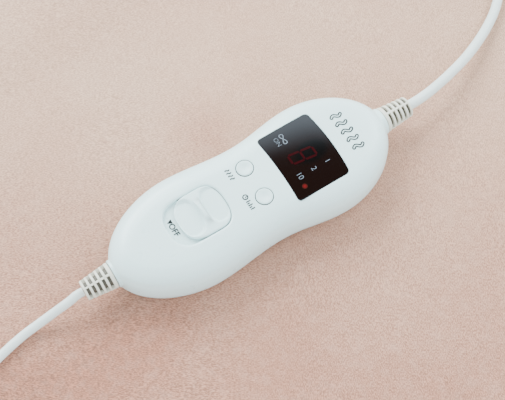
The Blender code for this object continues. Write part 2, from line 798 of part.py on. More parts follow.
def make_plug(shell, metal):
    """Flat two-pin plug, its relief towards the coil."""
    axis_z = CLOTH_THICK + GAP + PLUG_HEIGHT / 2
    back_x = PLUG_TIP_X - relief_length(PLUG_RELIEF)
    make_relief("plug_relief", PLUG_RELIEF, shell, None, (back_x, PLUG_Y, axis_z), (1, 0, 0))
    rings = []
    for distance, width, height in PLUG_SECTIONS:
        ring = rounded_rectangle(width, height, PLUG_ROUND * height, 3)
        rings.append([(back_x - distance, PLUG_Y + p.x, axis_z + p.y) for p, _ in ring])
    bm = bmesh.new()
    loft(bm, rings)
    add_mesh("plug_body", bm, shell)
    front_x = back_x - PLUG_LENGTH
    for name, side in (("plug_pin_left", -1), ("plug_pin_right", 1)):
        bm = bmesh.new()
        rings = ((0.0, PIN_RADIUS), (PIN_LENGTH - 0.001, PIN_RADIUS), (PIN_LENGTH, PIN_RADIUS - 0.001))
        loft(bm, [[(x, y, z) for x, y in circle(radius, 12)] for z, radius in rings])
        drift = (PIN_TIP_SPACING - PIN_SPACING) / 2
        along_axis(bm, (-PIN_LENGTH, side * drift, 0.0))
        add_mesh(name, bm, metal, None, (front_x - GAP, PLUG_Y + side * PIN_SPACING / 2, axis_z))


def make_inlet(shell):
    floor = CLOTH_THICK + GAP
    rings = []
    for inset, height in INLET_PROFILE:
        ring = rounded_rectangle(INLET_LENGTH, INLET_WIDTH, INLET_CORNER, 4)
        points = [point - inset * outward for point, outward in ring]
        rings.append([(INLET_X + p.x, INLET_Y + p.y, floor + height) for p in points])
    bm = bmesh.new()
    loft(bm, rings)
    add_mesh("inlet_housing", bm, shell)
    entry = (INLET_X + INLET_LENGTH / 2, INLET_Y, floor + INLET_ENTRY_Z)
    make_relief("inlet_relief", INLET_RELIEF, shell, None, entry, (1, 0, 0))


def main():
    clear_scene()
    plush = material("plush", (0.70, 0.55, 0.48), 0.95)
    shell = material("white_gloss_plastic", (0.80, 0.82, 0.81), 0.28)
    button = material("white_button_plastic", (0.78, 0.81, 0.82), 0.35)
    glass = material("dark_window", (0.020, 0.014, 0.013), 0.12)
    vinyl = material("white_vinyl", (0.76, 0.78, 0.77), 0.40)
    cream = material("cream_vinyl", (0.66, 0.64, 0.56), 0.50)
    strap = material("tie_strap", (0.60, 0.61, 0.60), 0.70)
    metal = material("nickel_pins", (0.72, 0.70, 0.66), 0.25, 1.0)

    make_cloth(plush)

    frame = add_object("controller_frame", None, None, (CONTROLLER_X, CONTROLLER_Y, CLOTH_THICK + GAP))
    frame.rotation_euler.z = CONTROLLER_YAW
    make_controller(shell, glass, button, frame)
    make_slider(button, frame)
    for name, relief, neck, way in (
        ("lead_relief", LEAD_RELIEF, LEAD_NECK_U, -1),
        ("mains_relief", MAINS_RELIEF, MAINS_NECK_U, 1),
    ):
        make_relief(name, relief, cream, frame, (neck, 0.0, PARTING_Z), (way, 0, 0))

    lead_start = relief_exit(LEAD_NECK_U - relief_length(LEAD_RELIEF) - GAP, LEAD_RADIUS)
    make_cord("lead_cord", vinyl, lead_start, LEAD_ROUTE, LEAD_RADIUS, 2)
    mains_start = relief_exit(MAINS_NECK_U + relief_length(MAINS_RELIEF) + GAP, MAINS_RADIUS)
    make_cord("mains_cord", vinyl, mains_start, MAINS_ROUTE, MAINS_RADIUS, 3)
    make_cord("mains_tail", vinyl, (), TAIL_ROUTE, MAINS_RADIUS, 3)
    make_coil(vinyl)
    make_tie(strap)
    make_plug(shell, metal)
    make_inlet(shell)


main()
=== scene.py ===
import math
from collections import namedtuple

import bmesh
import bpy
from mathutils import Matrix, Vector, noise


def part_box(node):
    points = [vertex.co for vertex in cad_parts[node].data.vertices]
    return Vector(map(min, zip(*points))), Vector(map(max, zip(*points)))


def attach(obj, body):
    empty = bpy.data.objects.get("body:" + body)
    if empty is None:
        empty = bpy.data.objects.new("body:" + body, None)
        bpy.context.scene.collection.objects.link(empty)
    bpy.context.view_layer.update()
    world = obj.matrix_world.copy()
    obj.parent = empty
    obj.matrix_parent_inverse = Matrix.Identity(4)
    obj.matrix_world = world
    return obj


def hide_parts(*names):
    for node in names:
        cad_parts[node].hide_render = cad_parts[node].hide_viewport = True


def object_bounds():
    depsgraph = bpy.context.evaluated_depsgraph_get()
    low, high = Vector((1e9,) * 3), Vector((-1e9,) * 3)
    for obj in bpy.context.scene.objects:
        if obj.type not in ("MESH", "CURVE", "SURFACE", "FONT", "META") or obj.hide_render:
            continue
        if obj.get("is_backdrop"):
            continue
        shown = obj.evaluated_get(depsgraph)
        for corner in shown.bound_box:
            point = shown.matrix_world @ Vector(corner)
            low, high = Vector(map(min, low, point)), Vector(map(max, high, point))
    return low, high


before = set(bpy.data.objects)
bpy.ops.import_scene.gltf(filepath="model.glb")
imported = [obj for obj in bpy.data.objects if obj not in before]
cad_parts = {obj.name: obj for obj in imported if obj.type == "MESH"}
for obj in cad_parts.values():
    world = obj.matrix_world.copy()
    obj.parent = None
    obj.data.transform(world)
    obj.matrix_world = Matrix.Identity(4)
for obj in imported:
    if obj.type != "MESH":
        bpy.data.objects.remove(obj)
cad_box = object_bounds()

# --------------------------------------------------------------------------------
# Studio: a pale floor inside pale walls that are open at the top, which the dark window mirrors, a broad soft
# light high at the back left and a weak one at the right. The camera looks down on the hand controller.


class Value:
    """A number that comes out of a node. Arithmetic on it adds Math nodes."""

    def __init__(self, tree, socket):
        self.tree, self.socket = tree, socket

    def operator(operation, turned=False):
        """The method for one kind of arithmetic, turned where the other value stands first."""

        def method(self, other):
            pair = (other, self) if turned else (self, other)
            return self.tree.node("ShaderNodeMath", {"operation": operation}, dict(enumerate(pair)))

        return method

    __add__ = __radd__ = operator("ADD")
    __mul__ = __rmul__ = operator("MULTIPLY")
    __sub__, __rsub__ = operator("SUBTRACT"), operator("SUBTRACT", turned=True)
    __truediv__, __rtruediv__ = operator("DIVIDE"), operator("DIVIDE", turned=True)


class Tree:
    """A node tree, of a material or of Geometry Nodes, that nodes are added to one call at a time."""

    def __init__(self, tree):
        self.tree = tree

    def node(self, kind, settings=None, inputs=None, output=0):
        """One node: its settings are set first, then its sockets get values or links."""
        node = self.tree.nodes.new(kind)
        for name, setting in (settings or {}).items():
            setattr(node, name, setting)
        for name, value in (inputs or {}).items():
            self.plug(node.inputs[name], value)
        return Value(self, node.outputs[output])

    def plug(self, socket, value):
        if isinstance(value, Value):
            self.tree.links.new(value.socket, socket)
        elif isinstance(value, tuple) and isinstance(value[0], Value):
            for part in value:
                self.plug(socket, part)
        else:
            socket.default_value = (*value, 1.0) if socket.type == "RGBA" else value

    def ramp(self, value, low, high):
        """The value spread so that low comes to 0 and high to 1."""
        inputs = {"Value": value, "From Min": low, "From Max": high}
        return self.node("ShaderNodeMapRange", {"clamp": True}, inputs)


class Finish(Tree):
    """A material: a Principled shader whose sockets are set by name."""

    def __init__(self, name, sockets):
        self.material = bpy.data.materials.new(name)
        self.material.use_nodes = True
        super().__init__(self.material.node_tree)
        self.set(sockets)

    def set(self, sockets):
        for name, value in sockets.items():
            self.plug(self.tree.nodes["Principled BSDF"].inputs[name], value)

    def layer(self, name):
        """A number that is stored on the mesh."""
        return self.node("ShaderNodeAttribute", {"attribute_name": name}, output=2)

    def noise(self, scale, detail=2.0, roughness=0.5, distortion=0.0, turn=0.0, stretch=(1, 1, 1)):
        """Noise in Object coordinates in metres, turned about Z and stretched."""
        where = {"Vector": self.node("ShaderNodeTexCoord", output="Object")}
        where |= {"Rotation": (0, 0, turn), "Scale": stretch}
        inputs = {"Vector": self.node("ShaderNodeMapping", inputs=where), "Scale": scale, "Detail": detail}
        inputs |= {"Roughness": roughness, "Distortion": distortion}
        return self.node("ShaderNodeTexNoise", inputs=inputs)

    def blend(self, share, first, second):
        """A colour between two others."""
        return self.node("ShaderNodeMix", {"data_type": "RGBA"}, {0: share, 6: first, 7: second}, output=2)

    def bump(self, height, distance, strength=1.0):
        inputs = {"Height": height, "Distance": distance, "Strength": strength}
        self.set({"Normal": self.node("ShaderNodeBump", inputs=inputs)})


def placed(name, data):
    """A new object in the scene."""
    obj = bpy.data.objects.new(name, data)
    bpy.context.collection.objects.link(obj)
    return obj


CAMERA_TARGET = Vector((-0.03816, -0.05125, 0.01672))
CAMERA_ELEVATION = math.radians(65)
CAMERA_DISTANCE = 0.4517
WALL_EDGE = (0.871, 0.829)  # height at which the wall starts to fade in, and where it is full
WALL_TILT = 0.08  # fall of that edge to the right
WALL_LIGHT = 3.25
WALL_LIGHT_BEHIND = 0.4  # more, the further back
OPEN_LIGHT = 0.1  # above the walls
FLOOR_SIZE = 12.0
FLOOR_HEIGHT = -0.0006

camera = placed("camera", bpy.data.cameras.new("camera"))
camera.data.lens = 70.0
camera.data.clip_start = 0.01
camera.rotation_euler.x = math.pi / 2 - CAMERA_ELEVATION
towards = Vector((0.0, math.cos(CAMERA_ELEVATION), -math.sin(CAMERA_ELEVATION)))
camera.location = CAMERA_TARGET - CAMERA_DISTANCE * towards
bpy.context.scene.camera = camera

world = bpy.data.worlds.new("surround")
world.use_nodes = True
surround = Tree(world.node_tree)
towards = {"Vector": surround.node("ShaderNodeTexCoord", output="Generated")}
across, depth, height = (surround.node("ShaderNodeSeparateXYZ", inputs=towards, output=axis) for axis in "XYZ")
wall = surround.ramp(height - across * WALL_TILT, *WALL_EDGE)
background = world.node_tree.nodes["Background"]
background.inputs["Color"].default_value = (0.855, 0.98, 1.02, 1.0)
surround.plug(background.inputs["Strength"], wall * (depth * WALL_LIGHT_BEHIND + WALL_LIGHT) + OPEN_LIGHT)
bpy.context.scene.world = world

for name, place, size, power, colour in (
    ("key_light", (-1.20, 1.50, 1.60), 1.5, 116.0, (0.90, 0.985, 0.98)),
    ("right_light", (0.50, 0.40, 0.55), 0.4, 4.0, (0.873, 0.99, 1.02)),
):
    lamp = placed(name, bpy.data.lights.new(name, "AREA"))
    lamp.data.size = size
    lamp.data.energy = power
    lamp.data.color = colour
    lamp.location = place
    lamp.rotation_euler = (-Vector(place)).to_track_quat("-Z", "Y").to_euler()

floor_mesh = bpy.data.meshes.new("floor")
floor_corners = [Vector(side) * FLOOR_SIZE / 2 for side in ((-1, -1), (1, -1), (1, 1), (-1, 1))]
floor_mesh.from_pydata([(*corner, FLOOR_HEIGHT) for corner in floor_corners], [], [(0, 1, 2, 3)])
pale_floor = Finish("pale_floor", {"Base Color": (0.855, 0.77, 0.735), "Roughness": 0.8})
floor_mesh.materials.append(pale_floor.material)
placed("floor", floor_mesh)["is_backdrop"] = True

# --------------------------------------------------------------------------------
# Blanket cloth: two faces of short brushed plush with wadding between them, sewn together inside a turned
# hem. It lies flat and slack, with a few soft ridges, and its pile is pressed down under what lies on it.

CLOTH_THICK = 0.005
PILE = 0.0006  # how far the brushed tips stand above the face that carries the controller
HEM_WIDTH = 0.022
HEM_RISE = 0.0008
HEM_NAP = 0.4  # share of the cloth's unevenness on the hem
SEAM_DROP = 0.0016  # how far the seam inside the hem is drawn down
SEAM_WIDTH = 0.003
STITCH_INSET = 0.0195  # of the hem's stitches inside the outline
STITCH_DRAW = 0.0003  # how far the stitches draw the hem down
STITCH_PROUD = 0.0003  # of the middle of a stitch over the surface that it is sewn on
EDGE_ROUND = 0.0022
CORNER_RADIUS = 0.045
SIDE_DRAW = 0.003  # how far the hem draws a side in between the places where it lies full
BORDER = 0.075  # outer band of the cloth whose rows follow its outline
BAND_STEPS = 4
FINE_STEP = 0.0022  # spacing of the cloth's points round the controller
COARSE_STEP = 0.0135
STEP_GROWTH = 1.16
FINE_X = (-0.165, 0.105)
FINE_Y = (-0.160, 0.070)

Fold = namedtuple("Fold", "start end bow height left right")
FOLDS = (
    Fold((-0.100, -0.098), (-0.330, -0.205), 0.012, 0.0045, 0.028, 0.050),
    Fold((-0.290, -0.040), (-0.070, 0.125), -0.010, 0.0030, 0.060, 0.036),
    Fold((0.085, -0.095), (0.330, 0.010), 0.016, 0.0035, 0.050, 0.040),
    Fold((-0.800, 0.060), (-0.420, 0.250), -0.020, 0.0060, 0.045, 0.060),
    Fold((-0.560, -0.430), (-0.400, -0.230), 0.012, 0.0055, 0.050, 0.040),
    Fold((-0.330, 0.190), (-0.180, 0.440), 0.014, 0.0060, 0.040, 0.055),
    Fold((0.130, -0.440), (0.270, -0.150), -0.016, 0.0065, 0.055, 0.045),
    Fold((0.250, 0.090), (0.600, 0.270), 0.022, 0.0050, 0.060, 0.045),
    Fold((0.470, -0.300), (0.800, -0.080), -0.018, 0.0060, 0.045, 0.060),
)
FOLD_FADE = 0.3  # share of a ridge's length over which it rises at each end

# What presses the pile down: middle, half length and half width, and turn of each footprint
Footprint = namedtuple("Footprint", "x y length width turn")
FOOTPRINTS = (
    Footprint(-0.0398, -0.0499, 0.068, 0.022, math.radians(32.3)),
    Footprint(-0.690, -0.160, 0.024, 0.018, 0.0),
    Footprint(-0.084, 0.188, 0.022, 0.017, 0.0),
    Footprint(0.057, 0.140, 0.040, 0.040, 0.0),
)
PRESS_EDGE = 0.004
OVAL_POWER = 2.6  # an oval between an ellipse and a rectangle


def smooth(low, high, x):
    """0 below low, 1 above high, and an even S between them."""
    share = min(1.0, max(0.0, (x - low) / (high - low)))
    return share * share * (3 - 2 * share)


def bell(*offsets):
    """1 where all offsets are 0, falling off evenly round there."""
    return math.exp(-sum(offset**2 for offset in offsets))


def rise(x, y):
    """How far the ridges lift the cloth off the surface it lies on."""
    height = 0.0
    for fold in FOLDS:
        from_start = Vector((x, y)) - Vector(fold.start)
        run = Vector(fold.end) - Vector(fold.start)
        share = from_start.dot(run) / run.length_squared
        across = run.cross(from_start) / run.length - 4 * fold.bow * share * (1 - share)
        reach = fold.left if across > 0 else fold.right
        if 0 < share < 1 and abs(across) < reach:
            fade = smooth(0.0, FOLD_FADE, min(share, 1 - share))
            height += fold.height * fade * math.cos(math.pi * across / reach / 2) ** 2
    return height


def oval(u, v):
    """1 on the rim of an oval of unit size, less inside it."""
    return abs(u) ** OVAL_POWER + abs(v) ** OVAL_POWER


def over_footprint(footprint, x, y):
    """Place of a point along and across a footprint."""
    dx, dy = x - footprint.x, y - footprint.y
    c, s = math.cos(footprint.turn), math.sin(footprint.turn)
    return dx * c + dy * s, dy * c - dx * s


def pressed(x, y):
    """1 where something lies on the pile, 0 where it stands free."""
    most = 0.0
    for footprint in FOOTPRINTS:
        u, v = over_footprint(footprint, x, y)
        reach = oval(u / footprint.length, v / footprint.width)
        if reach < 4:
            gap = (reach ** (1 / OVAL_POWER) - 1) * footprint.width
            most = max(most, 1 - smooth(-PRESS_EDGE / 2, PRESS_EDGE / 2, gap))
    return most


def wander(x, y, layer, scale, octaves):
    """Smooth chance of about -1 to 1, different on each layer."""
    return noise.fractal(Vector((x, y, layer)) * scale, 1.0, 2.0, octaves)


def nap(x, y):
    """Unevenness of the brushed face: broad soft swells, and small tufts on them."""
    return 0.00045 * wander(x, y, 0.0, 24.0, 3) + 0.00012 * wander(x, y, 3.0, 150.0, 2)


def cloth_top(x, y):
    return CLOTH_THICK + rise(x, y) + (1 - pressed(x, y)) * (PILE + max(-PILE, nap(x, y)))


def painted_light(x, y):
    """Painted light on the pile, 0 to 1: a painted sheen in broad bands across the cloth, less where painted
    shadow and shade fall by the lead, round the controller and beside its waist.
    """
    u, v = over_footprint(FOOTPRINTS[0], x, y)
    # Painted shadow of a fold and of the lead in a band at the lower left, painted shade round the controller,
    # and a patch of painted shade beside the controller's waist on its far side
    lead_fold_shadow = 0.42 * bell((y - 0.62 * x + 0.060) / 0.025) * smooth(0.04, 0.08, -x)
    controller_shade = 0.40 * bell((u - 0.012) / 0.095, v / 0.045)
    waist_side_shade = 0.45 * bell((x + 0.060) / 0.020, (y + 0.012) / 0.020)
    # Painted sheen: paler in broad bands across the cloth, their edges wandering
    across = y - 0.035 + 0.03 * wander(x, y, 7.0, 7.0, 2)
    return max(0.0, 0.60 + 0.40 * math.cos(math.pi * across / 0.20) - max(lead_fold_shadow, controller_shade, waist_side_shade))


def grain(x, y):
    """Which way the fine tufts lie: 0 along the blanket, 1 across it."""
    place = (x + 0.06 * wander(x, y, 9.0, 9.0, 2) + 0.30) % 0.60 - 0.30
    return 0.5 - 0.5 * math.cos(math.pi * smooth(-0.10, 0.0, place))


def graded(reach, fine):
    """Places from -reach to reach, close together over the fine stretch and gently wider apart outside it."""
    places = [fine[0]]
    while places[-1] < fine[1]:
        places.append(places[-1] + FINE_STEP)
    for side in (1, -1):
        step = FINE_STEP
        while side * places[-1] < reach:
            step = min(COARSE_STEP, step * STEP_GROWTH)
            places.append(places[-1] + side * step)
        places[-1] = side * reach
        places.reverse()
    finer = [places[0]]
    for k, (start, end) in enumerate(zip(places, places[1:])):
        parts = 3 if k < 3 or k >= len(places) - 4 else 1  # for the round of the corners
        finer += [start + (end - start) * part / parts for part in range(1, parts + 1)]
    return finer


def outline_side(share, half_length, half_width, draws):
    """Point and outward direction on the far side (+Y) of the outline, share running from -1 to 1."""
    straight = half_length - CORNER_RADIUS
    along = share * (straight + math.pi * CORNER_RADIUS / 4)
    if abs(along) <= straight:
        turn = along / straight + 1
        wave = math.sin(math.pi * draws * turn / 2) ** 2 * (0.55 + 0.45 * math.cos(2.5 * turn))
        return Vector((along, half_width - SIDE_DRAW * wave)), Vector((0.0, 1.0))
    angle = (abs(along) - straight) / CORNER_RADIUS
    outward = Vector((math.copysign(math.sin(angle), along), math.cos(angle)))
    middle = Vector((math.copysign(straight, along), half_width - CORNER_RADIUS))
    return middle + CORNER_RADIUS * outward, outward


def mesh_of(shape, name):
    """The shape as a mesh. The shape is used up."""
    mesh = bpy.data.meshes.new(name)
    shape.to_mesh(mesh)
    shape.free()
    return mesh


def piece(name, shape, finish, body="blanket", stands_for=()):
    """A finished piece at the origin, with its finish, its body and the solids it stands for."""
    mesh = mesh_of(shape, name) if isinstance(shape, bmesh.types.BMesh) else shape
    mesh.name = name
    mesh.materials.clear()
    mesh.materials.append(finish.material)
    mesh.shade_smooth()
    mesh.set_sharp_from_angle(angle=math.radians(35))
    obj = placed(name, mesh)
    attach(obj, body)
    if stands_for:
        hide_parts(*stands_for)
    return obj


cloth_low, cloth_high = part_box("blanket_cloth")
half_length = (cloth_high[0] - cloth_low[0]) / 2
half_width = (cloth_high[1] - cloth_low[1]) / 2
across_x = graded(half_length - BORDER, FINE_X)
across_y = graded(half_width - BORDER, FINE_Y)

# The band round the cloth runs once anticlockwise round the inner rectangle, point by point
last_x, last_y = len(across_x) - 1, len(across_y) - 1
inner_ring = [(i, 0) for i in range(last_x)] + [(last_x, j) for j in range(last_y)]
inner_ring += [(i, last_y) for i in range(last_x, 0, -1)] + [(0, j) for j in range(last_y, 0, -1)]


def outline_point(i, j):
    """Outline point and its direction outwards for a point on the inner rectangle's edge."""
    if j in (0, last_y):
        side = 1 if j else -1
        pair = outline_side(across_x[i] / across_x[-1], half_length, half_width, 5)
        return [Vector((p.x, side * p.y)) for p in pair]
    side = 1 if i else -1
    pair = outline_side(across_y[j] / across_y[-1], half_width, half_length, 3)
    return [Vector((side * p.y, p.x)) for p in pair]


# Rows of the band from the inner rectangle to the seam, over the hem and round the edge to the underside:
# how far each lies inside the outline, and its height over the underside's ridges
SEAM_INSET = HEM_WIDTH + SEAM_WIDTH
FACE = CLOTH_THICK + PILE
hem_rows = [(HEM_WIDTH + SEAM_WIDTH / 2, FACE - SEAM_DROP), (HEM_WIDTH, FACE + 0.4 * HEM_RISE)]
hem_rows += [(STITCH_INSET, FACE - STITCH_DRAW)]
for k in range(5):
    bulge = math.sin(math.pi * (k + 1) / 7)
    hem_rows.append((HEM_WIDTH - 0.0040 - 0.0032 * k, FACE + HEM_RISE * (0.55 + 0.6 * bulge)))
for k in range(7):
    angle = math.pi * (k / 6 - 0.5)
    middle = (FACE + HEM_RISE) / 2
    hem_rows.append((EDGE_ROUND * (1 - math.cos(angle)), middle - middle * math.sin(angle)))

cloth = bmesh.new()
grid_top = [[cloth.verts.new((x, y, cloth_top(x, y))) for x in across_x] for y in across_y]
grid_under = [[cloth.verts.new((x, y, rise(x, y))) for x in across_x] for y in across_y]
for j in range(last_y):
    for i in range(last_x):
        corners = ((j, i), (j, i + 1), (j + 1, i + 1), (j + 1, i))
        cloth.faces.new([grid_top[a][b] for a, b in corners])
        cloth.faces.new([grid_under[a][b] for a, b in reversed(corners)])
edge = [(Vector((across_x[i], across_y[j])), *outline_point(i, j)) for i, j in inner_ring]
rows = [[grid_top[j][i] for i, j in inner_ring]]
for k in range(1, BAND_STEPS + 1):
    ring = [inner.lerp(outer - SEAM_INSET * outward, k / BAND_STEPS) for inner, outer, outward in edge]
    rows.append([cloth.verts.new((p.x, p.y, cloth_top(p.x, p.y))) for p in ring])
for inset, height in hem_rows:
    ring = [outer - inset * outward for _, outer, outward in edge]
    if inset == STITCH_INSET:
        stitch_line = [(p.x, p.y, height + rise(p.x, p.y) + STITCH_PROUD) for p in ring]
    tufted = HEM_NAP if inset > 2 * EDGE_ROUND else 0.0
    rows.append([cloth.verts.new((p.x, p.y, height + rise(p.x, p.y) + tufted * nap(p.x, p.y))) for p in ring])
for k in range(1, BAND_STEPS):
    ring = [(outer - EDGE_ROUND * outward).lerp(inner, k / BAND_STEPS) for inner, outer, outward in edge]
    rows.append([cloth.verts.new((p.x, p.y, rise(p.x, p.y))) for p in ring])
rows.append([grid_under[j][i] for i, j in inner_ring])
for inner, outer in zip(rows, rows[1:]):
    for i in range(len(inner)):
        j = (i + 1) % len(inner)
        cloth.faces.new((inner[i], outer[i], outer[j], inner[j]))
bmesh.ops.recalc_face_normals(cloth, faces=cloth.faces)
for name, way in (("painted_light", painted_light), ("grain", grain)):
    layer = cloth.verts.layers.float.new(name)
    for vert in cloth.verts:
        vert[layer] = way(vert.co.x, vert.co.y)

plush = Finish("brushed_plush", {"Roughness": 0.92, "Sheen Weight": 0.15, "Sheen Roughness": 0.6})
painted_light_share = plush.layer("painted_light")
rows = plush.noise(1600.0, 1.0, 0.5, 0.3, stretch=(0.55, 1.7, 1.0))
columns = plush.noise(1600.0, 1.0, 0.5, 0.3, stretch=(1.8, 0.7, 1.0))
tufts = rows + (columns - rows) * plush.layer("grain")
patches = plush.ramp(plush.noise(17.0, 3.0, 0.55, 0.3, turn=math.radians(15)), 0.35, 0.65)
flecks = plush.noise(240.0, 3.0, 0.6)
# Shaded and sheen-lit copies of the rose cloth colour, chosen between by the painted light
rose = plush.blend(patches, (0.522, 0.215, 0.134), (0.483, 0.185, 0.113))
pale = plush.blend(patches, (0.678, 0.420, 0.294), (0.644, 0.382, 0.262))
# Painted shade in the hollows between the tufts, weaker where the painted sheen is stronger
pit_shade = (1 - plush.ramp(tufts, 0.37, 0.63)) * (0.98 - painted_light_share * 0.45)
piled = plush.blend(pit_shade, plush.blend(painted_light_share, rose, pale), (0.222, 0.090, 0.054))
plush.set({"Base Color": plush.blend(plush.ramp(flecks, 0.45, 0.75) * 0.2, piled, (0.667, 0.42, 0.323))})
plush.bump(tufts + flecks * 0.25, 0.0006, 0.7)
blanket = piece("blanket", cloth, plush, stands_for=("blanket_cloth",))

# --------------------------------------------------------------------------------
# Hem stitching: one row of pale thread through all layers of the turned hem, all the way round. Machine
# stitches, each drawn down into the pile at both ends.

STITCH_PITCH = 0.0045
STITCH_LENGTH = 0.0036
THREAD = 0.0007


def evaluated(obj):
    """The object as its modifiers leave it."""
    return obj.evaluated_get(bpy.context.evaluated_depsgraph_get())


class Recipe(Tree):
    """A Geometry Nodes tree with named inputs, which adds to the mesh that it is given."""

    def __init__(self, name, floats, whole_numbers=()):
        super().__init__(bpy.data.node_groups.new(name, "GeometryNodeTree"))
        kinds = {"Geometry": "Geometry", "Material": "Material"}
        kinds |= dict.fromkeys(floats, "Float") | dict.fromkeys(whole_numbers, "Int")
        for socket, kind in kinds.items():
            self.tree.interface.new_socket(socket, in_out="INPUT", socket_type="NodeSocket" + kind)
        self.tree.interface.new_socket("Geometry", in_out="OUTPUT", socket_type="NodeSocketGeometry")
        self.given = self.tree.nodes.new("NodeGroupInput")

    def size(self, name):
        return Value(self, self.given.outputs[name])

    def vector(self, x, y, z):
        return self.node("ShaderNodeCombineXYZ", inputs={"X": x, "Y": y, "Z": z})

    def close(self, *geometry):
        """Joins what was made, turns instances into faces and gives them the material."""
        joined = self.node("GeometryNodeJoinGeometry", inputs={"Geometry": geometry})
        real = self.node("GeometryNodeRealizeInstances", inputs={"Geometry": joined})
        painted = {"Geometry": real, "Material": self.size("Material")}
        painted = self.node("GeometryNodeSetMaterial", inputs=painted)
        self.plug(self.tree.nodes.new("NodeGroupOutput").inputs["Geometry"], painted)

    def run(self, base, finish, **sizes):
        """The mesh that the tree makes out of a base shape."""
        obj = placed("base", mesh_of(base, "base"))
        modifier = obj.modifiers.new("recipe", "NODES")
        modifier.node_group = self.tree
        sizes["Material"] = finish.material
        for socket in self.tree.interface.items_tree:
            if socket.in_out == "INPUT" and socket.name in sizes:
                modifier[socket.identifier] = sizes[socket.name]
        made = bpy.data.meshes.new_from_object(evaluated(obj))
        obj.modifiers.remove(modifier)
        bpy.data.meshes.remove(obj.data)
        return made


stitched = Recipe("stitches", ("Pitch", "Length", "Thread"))
path = stitched.node("GeometryNodeMeshToCurve", inputs={"Mesh": stitched.size("Geometry")})
path = {"Curve": path, "Length": stitched.size("Pitch")}
path = stitched.node("GeometryNodeResampleCurve", {"mode": "LENGTH"}, path)
turn = {"Vector": stitched.node("GeometryNodeInputTangent")}
turn = stitched.node("FunctionNodeAlignRotationToVector", {"axis": "X"}, turn)
bead = stitched.node("GeometryNodeMeshUVSphere", inputs={"Segments": 6, "Rings": 4, "Radius": 0.5})
bead_size = stitched.vector(stitched.size("Length"), stitched.size("Thread"), stitched.size("Thread"))
bead = {"Points": path, "Instance": bead, "Rotation": turn, "Scale": bead_size}
stitched.close(stitched.node("GeometryNodeInstanceOnPoints", inputs=bead))


def stitches(name, line):
    """A closed row of stitches along the given points."""
    base = bmesh.new()
    corners = [base.verts.new(point) for point in line]
    for start, end in zip(corners, corners[1:] + corners[:1]):
        base.edges.new((start, end))
    mesh = stitched.run(base, thread, Pitch=STITCH_PITCH, Length=STITCH_LENGTH, Thread=THREAD)
    return piece(name, mesh, thread)


thread = Finish("pale_thread", {"Roughness": 0.7})
plies = thread.ramp(thread.noise(2500.0, 1.0, stretch=(0.5, 1.0, 1.0)), 0.35, 0.65)
thread.set({"Base Color": thread.blend(plies, (0.555, 0.36, 0.274), (0.733, 0.52, 0.412))})
hem_stitches = stitches("hem_stitches", stitch_line)

# --------------------------------------------------------------------------------
# Controller housing: two mouldings of glossy white plastic, peanut-shaped, that meet at a fine parting line
# halfway up. The upper one is gently domed, with openings for the window, the buttons and the slider.

CONTROLLER_X = -0.0398
CONTROLLER_Y = -0.0499
CONTROLLER_YAW = math.radians(32.3)
CONTROLLER_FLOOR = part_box("controller_base")[0][2]

Lobe = namedtuple("Lobe", "centre length half power")  # half a superellipse, its centre's place along u
LEAD_LOBE = Lobe(-0.0310, 0.0405, 0.02665, 1.88)
MAINS_LOBE = Lobe(0.0370, 0.0368, 0.0281, 1.94)
WAIST_U = 0.0032
WAIST_HALF = 0.0241
LOBE_STEPS = 26
WAIST_STEPS = 24
PARTING_Z = 0.012
PARTING_GAP = 0.0001
HOUSING_TOP = 0.024
HOUSING_PROFILE = (  # how far inside the outline, and how high
    (0.0050, 0.0),
    (0.0020, 0.0012),
    (0.0006, 0.0045),
    (0.0, 0.0120),
    (0.0006, 0.0168),
    (0.0020, 0.0201),
    (0.0042, 0.0222),
    (0.0072, 0.0235),
    (0.0112, 0.0240),
)
PROFILE_STEP = 0.0008
SPINE_STEPS = 6  # rows across the top, from the profile's last point to the middle
DOME_RISE = 0.0002
DOME_FALL = 0.0004
DOME_HALF = 0.0168
DOME_END = 0.027
LEAD_NECK_U = -0.0713
MAINS_NECK_U = 0.0746
NECK_RADIUS = 0.0067
NECK_LENGTH = 0.012
NECK_FLARE = 0.0025
NECK_EDGE = 0.0003  # bevel of its mouth
BORE_RADIUS = 0.0047
BORE_DEPTH = 0.0058

Recess = namedtuple("Recess", "lead_u mains_u half lead_end mains_end")
RECESS = Recess(-0.0420, -0.0127, 0.01145, 0.0110, 0.0085)
RECESS_DEPTH = 0.0022
RECESS_FLARE = 0.0012  # rounding of the rim
BUTTON_U = 0.0030
BUTTON_V = 0.0083
BUTTON_RADIUS = 0.0039
BUTTON_GAP = 0.00034
BUTTON_WELL = 0.0046
BUTTON_FLARE = 0.0004
WINDOW_START_U = 0.0149
WINDOW_END_U = 0.0424
WINDOW_V = -0.0005
WINDOW_HALF = 0.0181
WINDOW_START_BOW = 0.0008
WINDOW_END_BOW = 0.0013
WINDOW_CORNER = 0.0019
WINDOW_STEP = 0.0016  # between points of its outline
WINDOW_SINK = 0.00012
WINDOW_THICK = 0.0010
WINDOW_GAP = 0.00012
WINDOW_FLARE = 0.00035
SEAT_SPARE = 0.0003  # under the window's plate

# Painted shade: a dark tone on the walls of the narrow gaps, where little light gets in
PAINTED_SHADE_TONE = (0.10, 0.085, 0.065)
PAINTED_SHADE_STEEP = 0.4  # it shows on faces whose normals point up by less than this
PAINTED_SHADE_IN_RECESS = 0.0008  # how deep it starts
PAINTED_SHADE_IN_WELL = 0.001
PAINTED_SHADE_U = (-0.027, -0.002)  # stretch of the recess that the slider stands close to


def at_controller(u, v, z):
    """World place of a point given along the controller, across it and up from its underside."""
    c, s = math.cos(CONTROLLER_YAW), math.sin(CONTROLLER_YAW)
    return Vector((CONTROLLER_X + u * c - v * s, CONTROLLER_Y + u * s + v * c, CONTROLLER_FLOOR + z))


